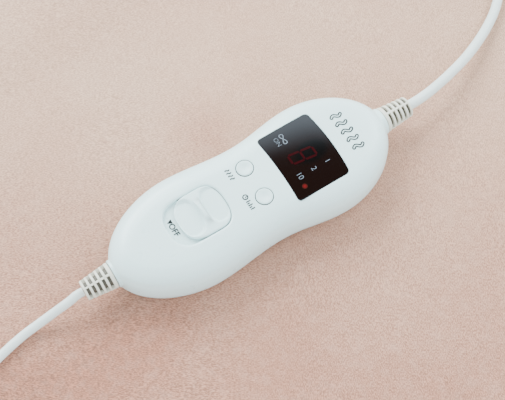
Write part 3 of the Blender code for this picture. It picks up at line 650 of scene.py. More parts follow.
def smooth_route(points, step):
    """Points about a step apart on a smooth curve through the given points."""
    padded = [2 * points[0] - points[1], *points, 2 * points[-1] - points[-2]]
    tangents = []
    for a, b, c in zip(padded, padded[1:], padded[2:]):
        before = (b - a).length
        after = (c - b).length
        tangents.append(((b - a) / before * after + (c - b) / after * before) / (before + after))
    dense = []
    for i, (a, b) in enumerate(zip(points, points[1:])):
        chord = (b - a).length
        for k in range(20):
            t = k / 20
            dense.append(
                (2 * t**3 - 3 * t**2 + 1) * a
                + (3 * t**2 - 2 * t**3) * b
                + (t**3 - 2 * t**2 + t) * chord * tangents[i]
                + (t**3 - t**2) * chord * tangents[i + 1]
            )
    dense.append(points[-1].copy())
    lengths = [0.0]
    for a, b in zip(dense, dense[1:]):
        lengths.append(lengths[-1] + (b - a).length)
    count = max(2, round(lengths[-1] / step))
    even = []
    k = 0
    for i in range(count):
        target = lengths[-1] * i / count
        while lengths[k + 1] < target:
            k += 1
        even.append(dense[k].lerp(dense[k + 1], (target - lengths[k]) / (lengths[k + 1] - lengths[k])))
    return even + [dense[-1]]


def loft(shape, rings, last_cap=True):
    """Faces through rings of equal length, with the ends closed."""
    rows = [[shape.verts.new(point) for point in ring] for ring in rings]
    for low, high in zip(rows, rows[1:]):
        for i in range(len(low)):
            j = (i + 1) % len(low)
            shape.faces.new((low[i], low[j], high[j], high[i]))
    shape.faces.new(rows[0])
    if last_cap:
        shape.faces.new(rows[-1])


def merged(shape):
    """The shape with coinciding points made one and its faces turned outwards."""
    bmesh.ops.remove_doubles(shape, verts=shape.verts, dist=2e-6)
    bmesh.ops.recalc_face_normals(shape, faces=shape.faces)
    return shape


def half_waist(u):
    lobe = LEAD_LOBE if u < WAIST_U else MAINS_LOBE
    share = (u - WAIST_U) / (lobe.centre - WAIST_U)
    return WAIST_HALF + (lobe.half - WAIST_HALF) * (1 - math.cos(math.pi * share)) / 2


def lobe_quarter(lobe, first):
    """A quarter of a lobe's curve from the given angle on, with the direction out of it."""
    bend = 2 / lobe.power
    side = 1 if first < 90 else -1
    quarter = []
    for i in range(LOBE_STEPS + 1):
        angle = math.radians(first + 90 * i / LOBE_STEPS)
        c, s = abs(math.cos(angle)), abs(math.sin(angle))
        point = Vector((lobe.centre + side * lobe.length * c**bend, lobe.half * s**bend))
        outward = Vector((side * c ** (2 - bend) / lobe.length, s ** (2 - bend) / lobe.half))
        quarter.append((point, outward.normalized()))
    return quarter


def housing_outline():
    """The peanut outline with the direction out of it, anticlockwise from the mains end."""
    upper = lobe_quarter(MAINS_LOBE, 0)
    for i in range(1, WAIST_STEPS):
        u = MAINS_LOBE.centre + (LEAD_LOBE.centre - MAINS_LOBE.centre) * i / WAIST_STEPS
        slope = (half_waist(u + 1e-5) - half_waist(u - 1e-5)) / 2e-5
        upper.append((Vector((u, half_waist(u))), Vector((-slope, 1)).normalized()))
    upper += lobe_quarter(LEAD_LOBE, 90)
    mirrored = [(Vector((p.x, -p.y)), Vector((n.x, -n.y))) for p, n in reversed(upper[1:-1])]
    return upper + mirrored


def dome(u, v):
    """Height of the housing's top."""
    past_end = max(0.0, u - MAINS_LOBE.centre, LEAD_LOBE.centre - u) / DOME_END
    return HOUSING_TOP + DOME_RISE - DOME_FALL * ((v / DOME_HALF) ** 2 + past_end**2)


def recess_outline(spare, recess=RECESS, steps=18):
    """Straight sides and a curved end at each side, anticlockwise, grown by the spare."""
    outline = []
    for sign, end_u, end in ((1, recess.mains_u, recess.mains_end), (-1, recess.lead_u, recess.lead_end)):
        for i in range(steps + 1):
            angle = math.pi * (i / steps - 0.5)
            c, s = math.cos(angle), math.sin(angle)
            u = (end + spare) * abs(c) ** (2 / OVAL_POWER)
            v = (recess.half + spare) * math.copysign(abs(s) ** (2 / OVAL_POWER), s)
            outline.append(Vector((end_u + sign * (u - end), sign * v)))
    return outline


def rounded_rectangle(length, width, corner, steps=6):
    """Corner points of a rectangle with round corners, anticlockwise round the origin."""
    points = []
    for quarter, (x, y) in enumerate(((1, 1), (-1, 1), (-1, -1), (1, -1))):
        for i in range(steps + 1):
            angle = (quarter + i / steps) * math.pi / 2
            u = x * (length / 2 - corner) + corner * math.cos(angle)
            points.append(Vector((u, y * (width / 2 - corner) + corner * math.sin(angle))))
    return points


def window_outline(spare):
    """Small round corners and bowed ends, anticlockwise, grown by the spare."""
    middle = (WINDOW_START_U + WINDOW_END_U) / 2
    reach = (WINDOW_END_U - WINDOW_START_U) / 2 + spare
    half = WINDOW_HALF + spare
    straight = rounded_rectangle(2 * reach, 2 * half, WINDOW_CORNER + spare)
    outline = []
    for point, following in zip(straight, straight[1:] + straight[:1]):
        parts = max(1, round((following - point).length / WINDOW_STEP))
        for k in range(parts):
            p = point.lerp(following, k / parts)
            bow = WINDOW_END_BOW if p.x > 0 else WINDOW_START_BOW
            outline.append(Vector((middle + p.x + bow * (1 - (p.y / half) ** 2), WINDOW_V + p.y)))
    return outline


def circle(radius, sides, u=0.0, v=0.0):
    turn = 2 * math.pi / sides
    return [Vector((u + radius * math.cos(i * turn), v + radius * math.sin(i * turn))) for i in range(sides)]


def button_ring(radius, side):
    """Circle round the middle of the heat button (side 1) or of the timer button (side -1)."""
    return circle(radius, 56, BUTTON_U, side * BUTTON_V)


def level(points, height):
    """Flat points set at a height."""
    return [(p.x, p.y, height) for p in points]


def pocket(outline_grown_by, depth, flare):
    """Solid that cuts a pocket into the dome, its rim rounded off over the flare."""
    rim = ((0, -0.8), (0.12, -0.4), (0.35, -0.15), (0.75, -0.03), (1.25, 0.02))
    levels = [(0, -depth), *((grown * flare, over * flare) for grown, over in rim), (1.3 * flare, 0.005)]
    shape = bmesh.new()
    rings = [(outline_grown_by(grown), over) for grown, over in levels]
    loft(shape, [[(p.x, p.y, dome(p.x, p.y) + over) for p in ring] for ring, over in rings])
    return merged(shape)


def axial(places):
    """Round solid along u at the cords' height: a place and a radius for each ring."""
    shape = bmesh.new()
    loft(shape, [[(u, p.x, PARTING_Z + p.y) for p in circle(radius, 48)] for u, radius in places])
    return merged(shape)


def combined(target, tools):
    """The target after exact Booleans with the tools, each tool given with its operation."""
    made = [placed("tool", mesh_of(shape, "tool")) for shape in (target, *(tool for tool, _ in tools))]
    for obj, (_, operation) in zip(made[1:], tools):
        modifier = made[0].modifiers.new(operation, "BOOLEAN")
        modifier.operation = operation
        modifier.solver = "EXACT"
        modifier.object = obj
    result = bmesh.new()
    result.from_mesh(evaluated(made[0]).to_mesh())
    for obj in made:
        bpy.data.meshes.remove(obj.data)
    return result


def half_of(shape, height, side):
    """The part of the shape above (1) or below (-1) a level plane, closed there and put in its place."""
    half = shape.copy()
    everything = [*half.verts, *half.edges, *half.faces]
    plane = {"plane_co": (0, 0, height), "plane_no": (0, 0, -side)}
    bmesh.ops.bisect_plane(half, geom=everything, dist=1e-7, clear_outer=True, **plane)
    rim = [edge for edge in half.edges if edge.is_boundary]
    bmesh.ops.triangle_fill(half, edges=rim, use_beauty=True)
    bmesh.ops.recalc_face_normals(half, faces=half.faces)
    half.transform(controller_place)
    return half


controller_place = Matrix.Translation(at_controller(0, 0, 0)) @ Matrix.Rotation(CONTROLLER_YAW, 4, "Z")
outline = housing_outline()
side_profile = smooth_route([Vector(row) for row in HOUSING_PROFILE], PROFILE_STEP)
rings = []
for inset, height in side_profile:
    ring = [point - inset * outward for point, outward in outline]
    lift = smooth(PARTING_Z, HOUSING_TOP, height)
    rings.append([(p.x, p.y, height + lift * (dome(p.x, p.y) - HOUSING_TOP)) for p in ring])
for k in range(1, SPINE_STEPS + 1):
    ring = []
    for point, outward in outline:
        edge = point - side_profile[-1].x * outward
        spine = Vector((min(MAINS_LOBE.centre, max(LEAD_LOBE.centre, edge.x)), 0.0))
        ring.append(edge.lerp(spine, k / SPINE_STEPS))
    rings.append([(p.x, p.y, dome(p.x, p.y)) for p in ring])
housing = bmesh.new()
loft(housing, rings, last_cap=False)

tools = []
for neck_u, inward in ((LEAD_NECK_U, 1), (MAINS_NECK_U, -1)):
    trumpet = [(neck_u, NECK_RADIUS - NECK_EDGE), (neck_u + inward * NECK_EDGE, NECK_RADIUS)]
    for reach in (k / 8 for k in range(1, 9)):
        flared = NECK_RADIUS + NECK_FLARE * smooth(0.05, 0.6, reach)
        trumpet.append((neck_u + inward * NECK_LENGTH * reach, flared))
    tools.append((axial(trumpet), "UNION"))
bore = ((-BORE_DEPTH, BORE_RADIUS), (BORE_DEPTH, BORE_RADIUS))
necks = (LEAD_NECK_U, MAINS_NECK_U)
cutters = [axial([(neck_u + along, radius) for along, radius in bore]) for neck_u in necks]
cutters.append(pocket(recess_outline, RECESS_DEPTH, RECESS_FLARE))
seat_depth = WINDOW_THICK + SEAT_SPARE
cutters.append(pocket(lambda spare: window_outline(spare + WINDOW_GAP), seat_depth, WINDOW_FLARE))
well_radius = BUTTON_RADIUS + BUTTON_GAP
for side in (1, -1):
    cutters.append(pocket(lambda spare: button_ring(well_radius + spare, side), BUTTON_WELL, BUTTON_FLARE))
housing = combined(merged(housing), tools + [(cutter, "DIFFERENCE") for cutter in cutters])
# Painted shade on the steep walls deep in the button wells and in the recess beside the slider: such faces are
# marked gap
gap = housing.faces.layers.float.new("gap")
for face in housing.faces:
    middle = face.calc_center_median()
    sunk = dome(middle.x, middle.y) - middle.z
    from_button = math.hypot(middle.x - BUTTON_U, abs(middle.y) - BUTTON_V) - BUTTON_RADIUS
    in_well = sunk > PAINTED_SHADE_IN_WELL and abs(from_button) < 1.5 * BUTTON_GAP
    in_recess = PAINTED_SHADE_IN_RECESS < sunk < RECESS_DEPTH and PAINTED_SHADE_U[0] < middle.x < PAINTED_SHADE_U[1]
    if abs(face.normal.z) < PAINTED_SHADE_STEEP and (in_well or in_recess):
        face[gap] = 1.0

gloss = Finish("white_gloss_plastic", {"IOR": 1.5, "Coat Weight": 0.15, "Coat Roughness": 0.12})
wear = gloss.noise(320.0, 3.0, 0.55)
moulded = gloss.noise(38.0, 2.0)
white = gloss.blend(gloss.ramp(moulded, 0.3, 0.7), (0.633, 0.790, 0.799), (0.661, 0.815, 0.818))
# Painted shade: faces marked gap are blended to the dark shade tone
gloss.set({"Base Color": gloss.blend(gloss.layer("gap"), white, PAINTED_SHADE_TONE), "Roughness": 0.24 + wear * 0.10})
gloss.bump(moulded, 0.00006, 0.3)
upper = half_of(housing, PARTING_Z + PARTING_GAP / 2, 1)
lower = half_of(housing, PARTING_Z - PARTING_GAP / 2, -1)
housing.free()
piece("controller_upper", upper, gloss, stands_for=("controller_top",))
piece("controller_lower", lower, gloss, stands_for=("controller_base",))

# --------------------------------------------------------------------------------
# Display window: a dark tinted acrylic plate that follows the dome, pressed into its seat almost flush.
# A dim red seven-segment figure, unlit but given a painted glow, and a lit dot shine through it, and its other
# marks are printed on it.

WINDOW_RINGS = 9
WINDOW_EDGE = 0.00012  # bevel of its rim
INK_LIFT = 0.00008  # of a printed mark over its surface
CAPITAL = 0.69  # height of a capital as a share of the font's size
SEGMENT_WIDTH = 0.0011
DIGIT_LOW_U = 0.0227
DIGIT_HIGH_U = 0.0347
DIGIT_WIDTH = 0.0060
DIGIT_LEFT_V = 0.0036
DIGIT_SLANT = -0.13  # sideways for each metre up the figure
DOT_U = 0.0211
DOT_V = -0.0137
DOT_RADIUS = 0.0014


def over_dome(shape, lift):
    """Flat faces raised onto the dome, a little over it, and put in their place."""
    for vert in shape.verts:
        vert.co.z += dome(vert.co.x, vert.co.y) + lift
    shape.transform(controller_place)
    return shape


def stroke(shape, points, width, closed=False):
    """A flat line of even width through the points."""
    rows = []
    for i, point in enumerate(points):
        before = points[i - 1] if i or closed else point
        after = points[(i + 1) % len(points)] if i + 1 < len(points) or closed else point
        side = (after - before).normalized().orthogonal() * (width / 2)
        rows.append([shape.verts.new((*(point + side), 0.0)), shape.verts.new((*(point - side), 0.0))])
    for i in range(len(rows) if closed else len(rows) - 1):
        near, far = rows[i], rows[(i + 1) % len(rows)]
        shape.faces.new((near[0], near[1], far[1], far[0]))


def written(shape, text, height, u, v, bold=0.0):
    """Flat figures or letters centred on a place, their tops towards the mains end."""
    font = bpy.data.curves.new("text", "FONT")
    font.body = text
    font.size = height / CAPITAL
    font.offset = bold
    font.align_x = "CENTER"
    font.align_y = "CENTER"
    mesh = bpy.data.meshes.new_from_object(evaluated(placed("text", font)))
    bpy.data.curves.remove(font)
    mesh.transform(Matrix.Translation((u, v, 0.0)) @ Matrix.Rotation(-math.pi / 2, 4, "Z"))
    shape.from_mesh(mesh)
    bpy.data.meshes.remove(mesh)


def printed(name, shape, finish, lift):
    """Printed marks: facing up, a hair over the surface."""
    for face in shape.faces:
        face.normal_update()
        if face.normal.z < 0:
            face.normal_flip()
    return piece(name, over_dome(shape, lift + INK_LIFT), finish)


def segment(shape, start, end):
    """One bar of the figure, pointed at its ends."""
    along = (end - start).normalized()
    side = along.orthogonal() * (SEGMENT_WIDTH / 2)
    point = along * (SEGMENT_WIDTH / 2)
    start, end = start + 0.3 * point, end - 0.3 * point
    corners = [start, start + point + side, end - point + side, end, end - point - side, start + point - side]
    shape.faces.new([shape.verts.new(corner) for corner in level(corners, 0.0)])


def nearness(finish, middle, size, turn=0.0):
    """1 at a place in the scene, falling to 0 at the edge of an ellipsoid round it."""
    where = {"Vector": finish.node("ShaderNodeTexCoord", output="Object"), "Location": middle}
    where |= {"Rotation": (0, 0, turn), "Scale": size}
    centred = finish.node("ShaderNodeMapping", {"vector_type": "TEXTURE"}, where)
    return finish.node("ShaderNodeTexGradient", {"gradient_type": "SPHERICAL"}, {"Vector": centred}, output=1)


glass = Finish("tinted_acrylic", {"Roughness": 0.09, "Specular IOR Level": 0.66})
glass.set({"Specular Tint": (0.80, 0.89, 1.0)})
module = nearness(glass, at_controller(0.0333, -0.0004, 0.024), (0.010, 0.0065, 1.0), CONTROLLER_YAW)
tint = glass.blend(glass.ramp(module, 0.0, 0.35), (0.0052, 0.0015, 0.0007), (0.0020, 0.0012, 0.0008))
glass.set({"Base Color": tint})

pane = bmesh.new()
rings = [level(window_outline(0.0), -WINDOW_SINK - WINDOW_THICK)]
rings.append(level(window_outline(0.0), -WINDOW_SINK - WINDOW_EDGE))
pane_middle = Vector(((WINDOW_START_U + WINDOW_END_U) / 2, WINDOW_V))
for k in range(WINDOW_RINGS):
    ring = [p.lerp(pane_middle, k / WINDOW_RINGS) for p in window_outline(-WINDOW_EDGE)]
    rings.append(level(ring, -WINDOW_SINK))
loft(pane, rings)
piece("window", over_dome(merged(pane), 0.0), glass, stands_for=("display_window",))

figure = bmesh.new()
middle_u = (DIGIT_LOW_U + DIGIT_HIGH_U) / 2
corners = []
for u in (DIGIT_LOW_U, middle_u, DIGIT_HIGH_U):
    drift = (u - DIGIT_LOW_U) * DIGIT_SLANT
    left = Vector((u, DIGIT_LEFT_V + drift - SEGMENT_WIDTH / 2))
    corners.append((left, left - Vector((0.0, DIGIT_WIDTH - SEGMENT_WIDTH))))
for left, right in corners:
    segment(figure, left, right)
for low, high in zip(corners, corners[1:]):
    segment(figure, low[0], high[0])
    segment(figure, low[1], high[1])
# Painted glow: the unlit figure's dim red comes from its own emission, not from the lamps
dim_red = Finish("unlit_figure", {"Base Color": (0.006, 0.001, 0.001), "Roughness": 0.09})
dim_red.set({"Emission Strength": 1.0})
speckle = dim_red.noise(900.0, 2.0)
dim_red.set({"Emission Color": dim_red.blend(speckle, (0.036, 0.0, 0.0026), (0.060, 0.0, 0.0042))})
printed("seven_segment_figure", figure, dim_red, -WINDOW_SINK)

lit_dot = bmesh.new()
bmesh.ops.create_circle(lit_dot, cap_ends=True, segments=40, radius=DOT_RADIUS)
bmesh.ops.translate(lit_dot, verts=lit_dot.verts, vec=(DOT_U, DOT_V, 0.0))
glow = Finish("lit_dot", {"Base Color": (0.02, 0.006, 0.004), "Roughness": 0.1, "Emission Strength": 1.0})
core = nearness(glow, at_controller(DOT_U, DOT_V, dome(DOT_U, DOT_V)), (DOT_RADIUS,) * 3)
glow.set({"Emission Color": glow.blend(glow.ramp(core, 0.05, 0.75), (0.0, 0.0, 0.0), (0.26, 0.0, 0.010))})
printed("lit_dot", lit_dot, glow, -WINDOW_SINK)

pale_ink = Finish("pale_ink", {"Base Color": (0.108, 0.128, 0.160), "Roughness": 0.5})
marks = bmesh.new()
written(marks, "10", 0.0026, 0.0220, -0.0083, -0.00003)
written(marks, "2", 0.0026, 0.0294, -0.0085, -0.00003)
written(marks, "1", 0.0026, 0.0368, -0.0085, -0.00003)
written(marks, "ON", 0.0021, 0.0227, 0.0116, -0.00004)
angles = [2 * math.pi * i / 40 for i in range(40)]
endless = [Vector((0.0259 + 0.0009 * math.sin(2 * a), 0.0116 + 0.0027 * math.cos(a))) for a in angles]
stroke(marks, endless, 0.00042, closed=True)
printed("window_marks", marks, pale_ink, -WINDOW_SINK)

# --------------------------------------------------------------------------------
# Push buttons and slide switch: satin white plastic. Each round button has its own shaft in the upper
# moulding, and the switch slides in its recess with a thumb scoop each side of a raised ridge.

BUTTON_PROUD = 0.0004
BUTTON_HEIGHT = 0.0040
BUTTON_EDGE = 0.00045
BUTTON_DISH = 0.00045
SLIDER_TRAVEL = 0.0053
SLIDER_GAP = 0.00028
SLIDER_RIM = 0.0003  # its rim above the housing's top
SLIDER_EDGE = 0.0007  # rounding of its rim
SLIDER_RINGS = 56
RIDGE_U = -0.0241
RIDGE_HEIGHT = 0.0016
RIDGE_WIDTH = 0.0018
RIDGE_FADE = 0.0035  # from the rim, over which the ridge rises
FOOT = 0.0012  # from the ridge's middle to each foot
WAVES_U = (0.0508, 0.0556)  # the ends of the five outlined waves
WAVES_V = 0.0088  # of the first one
WAVES_PITCH = 0.0046
HEAT_ICON_U = (-0.0056, -0.0034)
HEAT_ICON_V = 0.0115
HEAT_ICON_PITCH = 0.0016

Scoop = namedtuple("Scoop", "u v length half depth")
SCOOPS = (
    Scoop(-0.0310, 0.0005, 0.0056, 0.0098, 0.0012),
    Scoop(-0.0178, 0.0005, 0.0050, 0.0096, 0.0011),
)


def slider_top(u, v, inside):
    """Height of the slider over the dome, its distance from the rim given."""
    rim = SLIDER_EDGE * (1 - math.sqrt(1 - (1 - min(1.0, inside / SLIDER_EDGE)) ** 2))
    ridge = smooth(0.0, RIDGE_FADE, inside) * (1 - smooth(0.25, 0.85, abs(u - RIDGE_U) / RIDGE_WIDTH))
    height = SLIDER_RIM - rim + RIDGE_HEIGHT * ridge
    for scoop in SCOOPS:
        share = oval((u - scoop.u) / scoop.length, (v - scoop.v) / scoop.half)
        height -= scoop.depth * smooth(0.0, 0.35, 1 - share)
    return height


satin = Finish("white_button_plastic", {"IOR": 1.5})
wear = satin.noise(420.0, 3.0, 0.55)
white = satin.blend(wear, (0.622, 0.780, 0.784), (0.650, 0.805, 0.808))
# Painted shade: faces marked gap are blended to the dark shade tone
satin.set({"Base Color": satin.blend(satin.layer("gap"), white, PAINTED_SHADE_TONE), "Roughness": 0.30 + wear * 0.1})
satin.bump(wear, 0.00002, 0.3)

for name, body, side in (("heat_button", "heat_key", 1), ("timer_button", "timer_key", -1)):
    button = bmesh.new()
    levels = [(0.0, -BUTTON_HEIGHT)]
    for k in range(6):
        angle = math.pi / 2 * k / 5
        levels.append((BUTTON_EDGE * (1 - math.cos(angle)), BUTTON_EDGE * (math.sin(angle) - 1)))
    for k in range(1, 9):
        inset = BUTTON_EDGE + (BUTTON_RADIUS - BUTTON_EDGE) * k / 8.5
        levels.append((inset, -BUTTON_DISH * math.sin(math.pi / 2 * k / 8) ** 2))
    loft(button, [level(button_ring(BUTTON_RADIUS - inset, side), height) for inset, height in levels])
    # Painted shade on the button's side deep in its well
    gap = button.faces.layers.float.new("gap")
    for face in button.faces:
        face[gap] = 1.0 if face.calc_center_median().z < -0.001 else 0.0
    piece(name, over_dome(merged(button), BUTTON_PROUD), satin, body, (name,))

slider_seat = RECESS._replace(lead_u=RECESS.lead_u + SLIDER_TRAVEL)
slider_rim = recess_outline(-SLIDER_GAP, slider_seat, 48)
slider_middle = Vector(((slider_seat.lead_u + slider_seat.mains_u) / 2, 0.0))
rings = [level(slider_rim, SLIDER_GAP - RECESS_DEPTH)]
for k in range(SLIDER_RINGS):
    scale = 1 - (k / SLIDER_RINGS) ** 1.3
    ring = [slider_middle + scale * (p - slider_middle) for p in slider_rim]
    inside = [(p - q).length for p, q in zip(ring, slider_rim)]
    rings.append([(p.x, p.y, slider_top(p.x, p.y, gap)) for p, gap in zip(ring, inside)])
slider = bmesh.new()
loft(slider, rings)
gap = slider.verts.layers.float.new("gap")  # painted shade also along both feet of the ridge
# Painted shade: dark lines at both feet of the ridge, darker on its mains side, fading out towards the sides
for vert in slider.verts:
    beyond = vert.co.x - RIDGE_U
    lines = 0.45 * bell((beyond - FOOT) / 0.0005) + 0.10 * bell((beyond + FOOT) / 0.0004)
    vert[gap] = lines * smooth(0.0100, 0.0060, abs(vert.co.y))
piece("slider", over_dome(merged(slider), 0.0), satin, "slider", ("power_slider",))

grey_ink = Finish("grey_ink", {"Base Color": (0.012, 0.013, 0.013), "Roughness": 0.6})
grey_ink.set({"Specular IOR Level": 0.15})


def wavy(low_u, high_u, v, sway, steps):
    """Points of a wave that runs along u."""
    shares = [i / steps for i in range(steps + 1)]
    return [Vector((low_u + (high_u - low_u) * s, v + sway * math.sin(2 * math.pi * s))) for s in shares]


def rounded_band(points, half):
    """Outline of a band of even width round the points, with round ends."""
    sides = []
    for before, after in zip([points[0], *points[:-1]], [*points[1:], points[-1]]):
        along = (after - before).normalized()
        sides.append(Vector((-along.y, along.x)) * half)
    rim = []
    for line, arms in ((points, sides), (points[::-1], [-side for side in sides[::-1]])):
        rim += [point + arm for point, arm in zip(line, arms)]
        for angle in (math.pi * k / 8 for k in range(1, 8)):
            turned = arms[-1] * math.cos(angle) + Vector((arms[-1].y, -arms[-1].x)) * math.sin(angle)
            rim.append(line[-1] + turned)
    return rim


marks = bmesh.new()
for column in range(5):
    wave = wavy(*WAVES_U, WAVES_V - WAVES_PITCH * column, 0.0007, 24)
    stroke(marks, rounded_band(wave, 0.0006), 0.00060, closed=True)
for column in range(4):
    stroke(marks, wavy(*HEAT_ICON_U, HEAT_ICON_V - HEAT_ICON_PITCH * column, 0.0003, 12), 0.00056)
clock = Vector((-0.0045, -0.0042))
stroke(marks, circle(0.00115, 24, *clock), 0.00050, closed=True)
stroke(marks, [clock + Vector((0.0008, 0.0)), clock, clock + Vector((0.0, -0.0006))], 0.00042)
for tick, length in enumerate((0.0022, 0.0013, 0.0022, 0.0013, 0.0022)):
    foot = Vector((-0.0056, -0.0066 - 0.0010 * tick))
    stroke(marks, [foot, foot + Vector((length, 0.0))], 0.00052)
printed("housing_marks", marks, grey_ink, 0.0)

floor_marks = bmesh.new()
written(floor_marks, "OFF", 0.0026, -0.0391, 0.0, 0.00006)
arrow = ((-0.0402, 0.0042), (-0.0379, 0.0053), (-0.0379, 0.0031))
floor_marks.faces.new([floor_marks.verts.new((*corner, 0.0)) for corner in arrow])
printed("recess_marks", floor_marks, grey_ink, -RECESS_DEPTH)

# --------------------------------------------------------------------------------
# Strain reliefs at the controller: soft cream vinyl moulded over each cord. A collar stands against the
# neck, then ribs with four rows of open slots between them, and a tip that closes on the cord.

SOLID_GAP = 0.0003  # between a relief and the face that it grows out of
ROOT_RADIUS = 0.0044
SLOT_LENGTH = 0.00145
SLOT_DEPTH = 0.0018
WEB_WIDTH = 0.0010
RIB_ROUND = 0.0003
RELIEF_SIDES = 48

Relief = namedtuple("Relief", "base_radius tip_radius root collar slots pitch tip")
LEAD_RELIEF = Relief(0.00635, 0.00470, 0.0055, 0.0020, 5, 0.00255, 0.0010)
MAINS_RELIEF = Relief(0.00640, 0.00515, 0.0055, 0.0022, 5, 0.00260, 0.0010)


sizes = ("Base", "Taper", "Rib", "Slot", "Start", "Pitch", "Depth", "Web", "Round")
ribbed = Recipe("ribs_and_webs", sizes, whole_numbers=("Slots",))
base_radius = ribbed.size("Base")
position = {"Vector": ribbed.node("GeometryNodeInputPosition")}
height = ribbed.node("ShaderNodeSeparateXYZ", inputs=position, output="Z")
narrowed = (height * ribbed.size("Taper") + base_radius) / base_radius
tapered = ribbed.vector(narrowed, narrowed, 1.0)
step = ribbed.vector(0.0, 0.0, ribbed.size("Pitch"))


def row_of(count, start, shape):
    """Copies of a shape up the axis, each as wide as the relief is there."""
    inputs = {"Count": count, "Start Location": ribbed.vector(0.0, 0.0, start), "Offset": step}
    line = ribbed.node("GeometryNodeMeshLine", {"mode": "OFFSET"}, inputs)
    copies = {"Points": line, "Instance": shape, "Scale": tapered}
    return ribbed.node("GeometryNodeInstanceOnPoints", inputs=copies)


rib_path = {"Resolution": RELIEF_SIDES, "Radius": base_radius - ribbed.size("Depth") * 0.5}
rib_path = ribbed.node("GeometryNodeCurvePrimitiveCircle", {"mode": "RADIUS"}, rib_path)
rib_section = {"Width": ribbed.size("Depth"), "Height": ribbed.size("Rib")}
rib_section = ribbed.node("GeometryNodeCurvePrimitiveQuadrilateral", {"mode": "RECTANGLE"}, rib_section)
rounding = {"Curve": rib_section, "Count": 4, "Radius": ribbed.size("Round")}
rib_section = ribbed.node("GeometryNodeFilletCurve", {"mode": "POLY"}, rounding)
rib = ribbed.node("GeometryNodeCurveToMesh", inputs={"Curve": rib_path, "Profile Curve": rib_section})
first_rib = ribbed.size("Start") + ribbed.size("Slot") + ribbed.size("Rib") * 0.5
ribs = row_of(ribbed.size("Slots") - 1, first_rib, rib)
long, short, deep = base_radius * 1.985, ribbed.size("Web"), ribbed.size("Slot") * 1.6
webs = []
for across, along in ((long, short), (short, long)):
    bar = ribbed.node("GeometryNodeMeshCube", inputs={"Size": ribbed.vector(across, along, deep)})
    webs.append(row_of(ribbed.size("Slots"), ribbed.size("Start") + ribbed.size("Slot") * 0.5, bar))
ribbed.close(ribbed.size("Geometry"), ribs, *webs)


def relief_length(relief):
    return relief.collar + (relief.slots - 1) * relief.pitch + SLOT_LENGTH + relief.tip


def relief_mesh(relief, finish, cord_radius, place):
    """A relief's core, collar and tip, turned, with the ribs and webs added to them."""
    length = relief_length(relief)
    taper = (relief.tip_radius - relief.base_radius) / length
    tip_start = length - relief.tip

    def full(z):
        """Radius of the relief at a place up its axis."""
        return relief.base_radius + taper * z

    def band(start, end):
        """Outer face of a full-width band with rounded edges."""
        places = []
        for edge, way in ((start, 1), (end, -1)):
            arc = [math.pi / 2 * k / 4 for k in range(5)][::-way]
            turn = [(edge + way * RIB_ROUND * (1 - math.sin(a)), RIB_ROUND * (math.cos(a) - 1)) for a in arc]
            places += [(z, full(z) + fall) for z, fall in turn]
        return places

    rows = [(SOLID_GAP, cord_radius)]
    if relief.root:
        rows = [(-relief.root, ROOT_RADIUS), (SOLID_GAP, ROOT_RADIUS)]
    rows += band(SOLID_GAP, relief.collar)
    rows += [(z, full(z) - SLOT_DEPTH) for z in (relief.collar, tip_start)]
    rows += [*band(tip_start, length), (length, cord_radius)]
    core = bmesh.new()
    loft(core, [level(circle(radius, RELIEF_SIDES), z) for z, radius in rows])
    # The floors of the slots are marked to be painted dark: painted shade
    depth = core.verts.layers.float.new("depth")
    for vert in core.verts:
        in_slots = relief.collar - 1e-5 < vert.co.z < tip_start + 1e-5
        on_floor = abs(vert.co.xy.length - (full(vert.co.z) - SLOT_DEPTH)) < 1e-5
        vert[depth] = 1.0 if in_slots and on_floor else 0.0
    sizes = {"Base": relief.base_radius, "Taper": taper, "Rib": relief.pitch - SLOT_LENGTH, "Slot": SLOT_LENGTH}
    sizes |= {"Start": relief.collar, "Pitch": relief.pitch, "Depth": SLOT_DEPTH, "Web": WEB_WIDTH}
    mesh = ribbed.run(merged(core), finish, Round=RIB_ROUND, Slots=relief.slots, **sizes)
    mesh.transform(place)
    return mesh


cream = Finish("cream_vinyl", {"Specular IOR Level": 0.35})
waves = cream.noise(260.0, 3.0)
skin = cream.blend(cream.ramp(waves, 0.3, 0.7), (0.667, 0.64, 0.549), (0.722, 0.69, 0.598))
# Painted shade: the slot floors are blended to a dark brown
cream.set({"Base Color": cream.blend(cream.layer("depth"), skin, (0.125, 0.110, 0.088))})
cream.set({"Roughness": 0.42 + waves * 0.14})
cream.bump(waves, 0.00006, 0.4)

LEAD_RADIUS = 0.0021
MAINS_RADIUS = 0.0025
for name, relief, neck_u, way, turn, cord_radius in (
    ("lead_relief", LEAD_RELIEF, LEAD_NECK_U, -1, -13, LEAD_RADIUS),
    ("mains_relief", MAINS_RELIEF, MAINS_NECK_U, 1, 4, MAINS_RADIUS),
):
    stand = Matrix.Translation((neck_u, 0, PARTING_Z)) @ Matrix.Rotation(way * math.pi / 2, 4, "Y")
    stand = stand @ Matrix.Rotation(math.radians(turn), 4, "Z")
    mesh = relief_mesh(relief, cream, cord_radius, controller_place @ stand)
    piece(name, mesh, cream, stands_for=(name,))

# --------------------------------------------------------------------------------
# Lead: a thin round white cord from the controller to the inlet, lying in a loose bend on the pile.

CORD_LIFT = 0.0007  # under a lying cord
STRAIGHT_DIAMETERS = 0.8  # straight stretch out of a strain relief

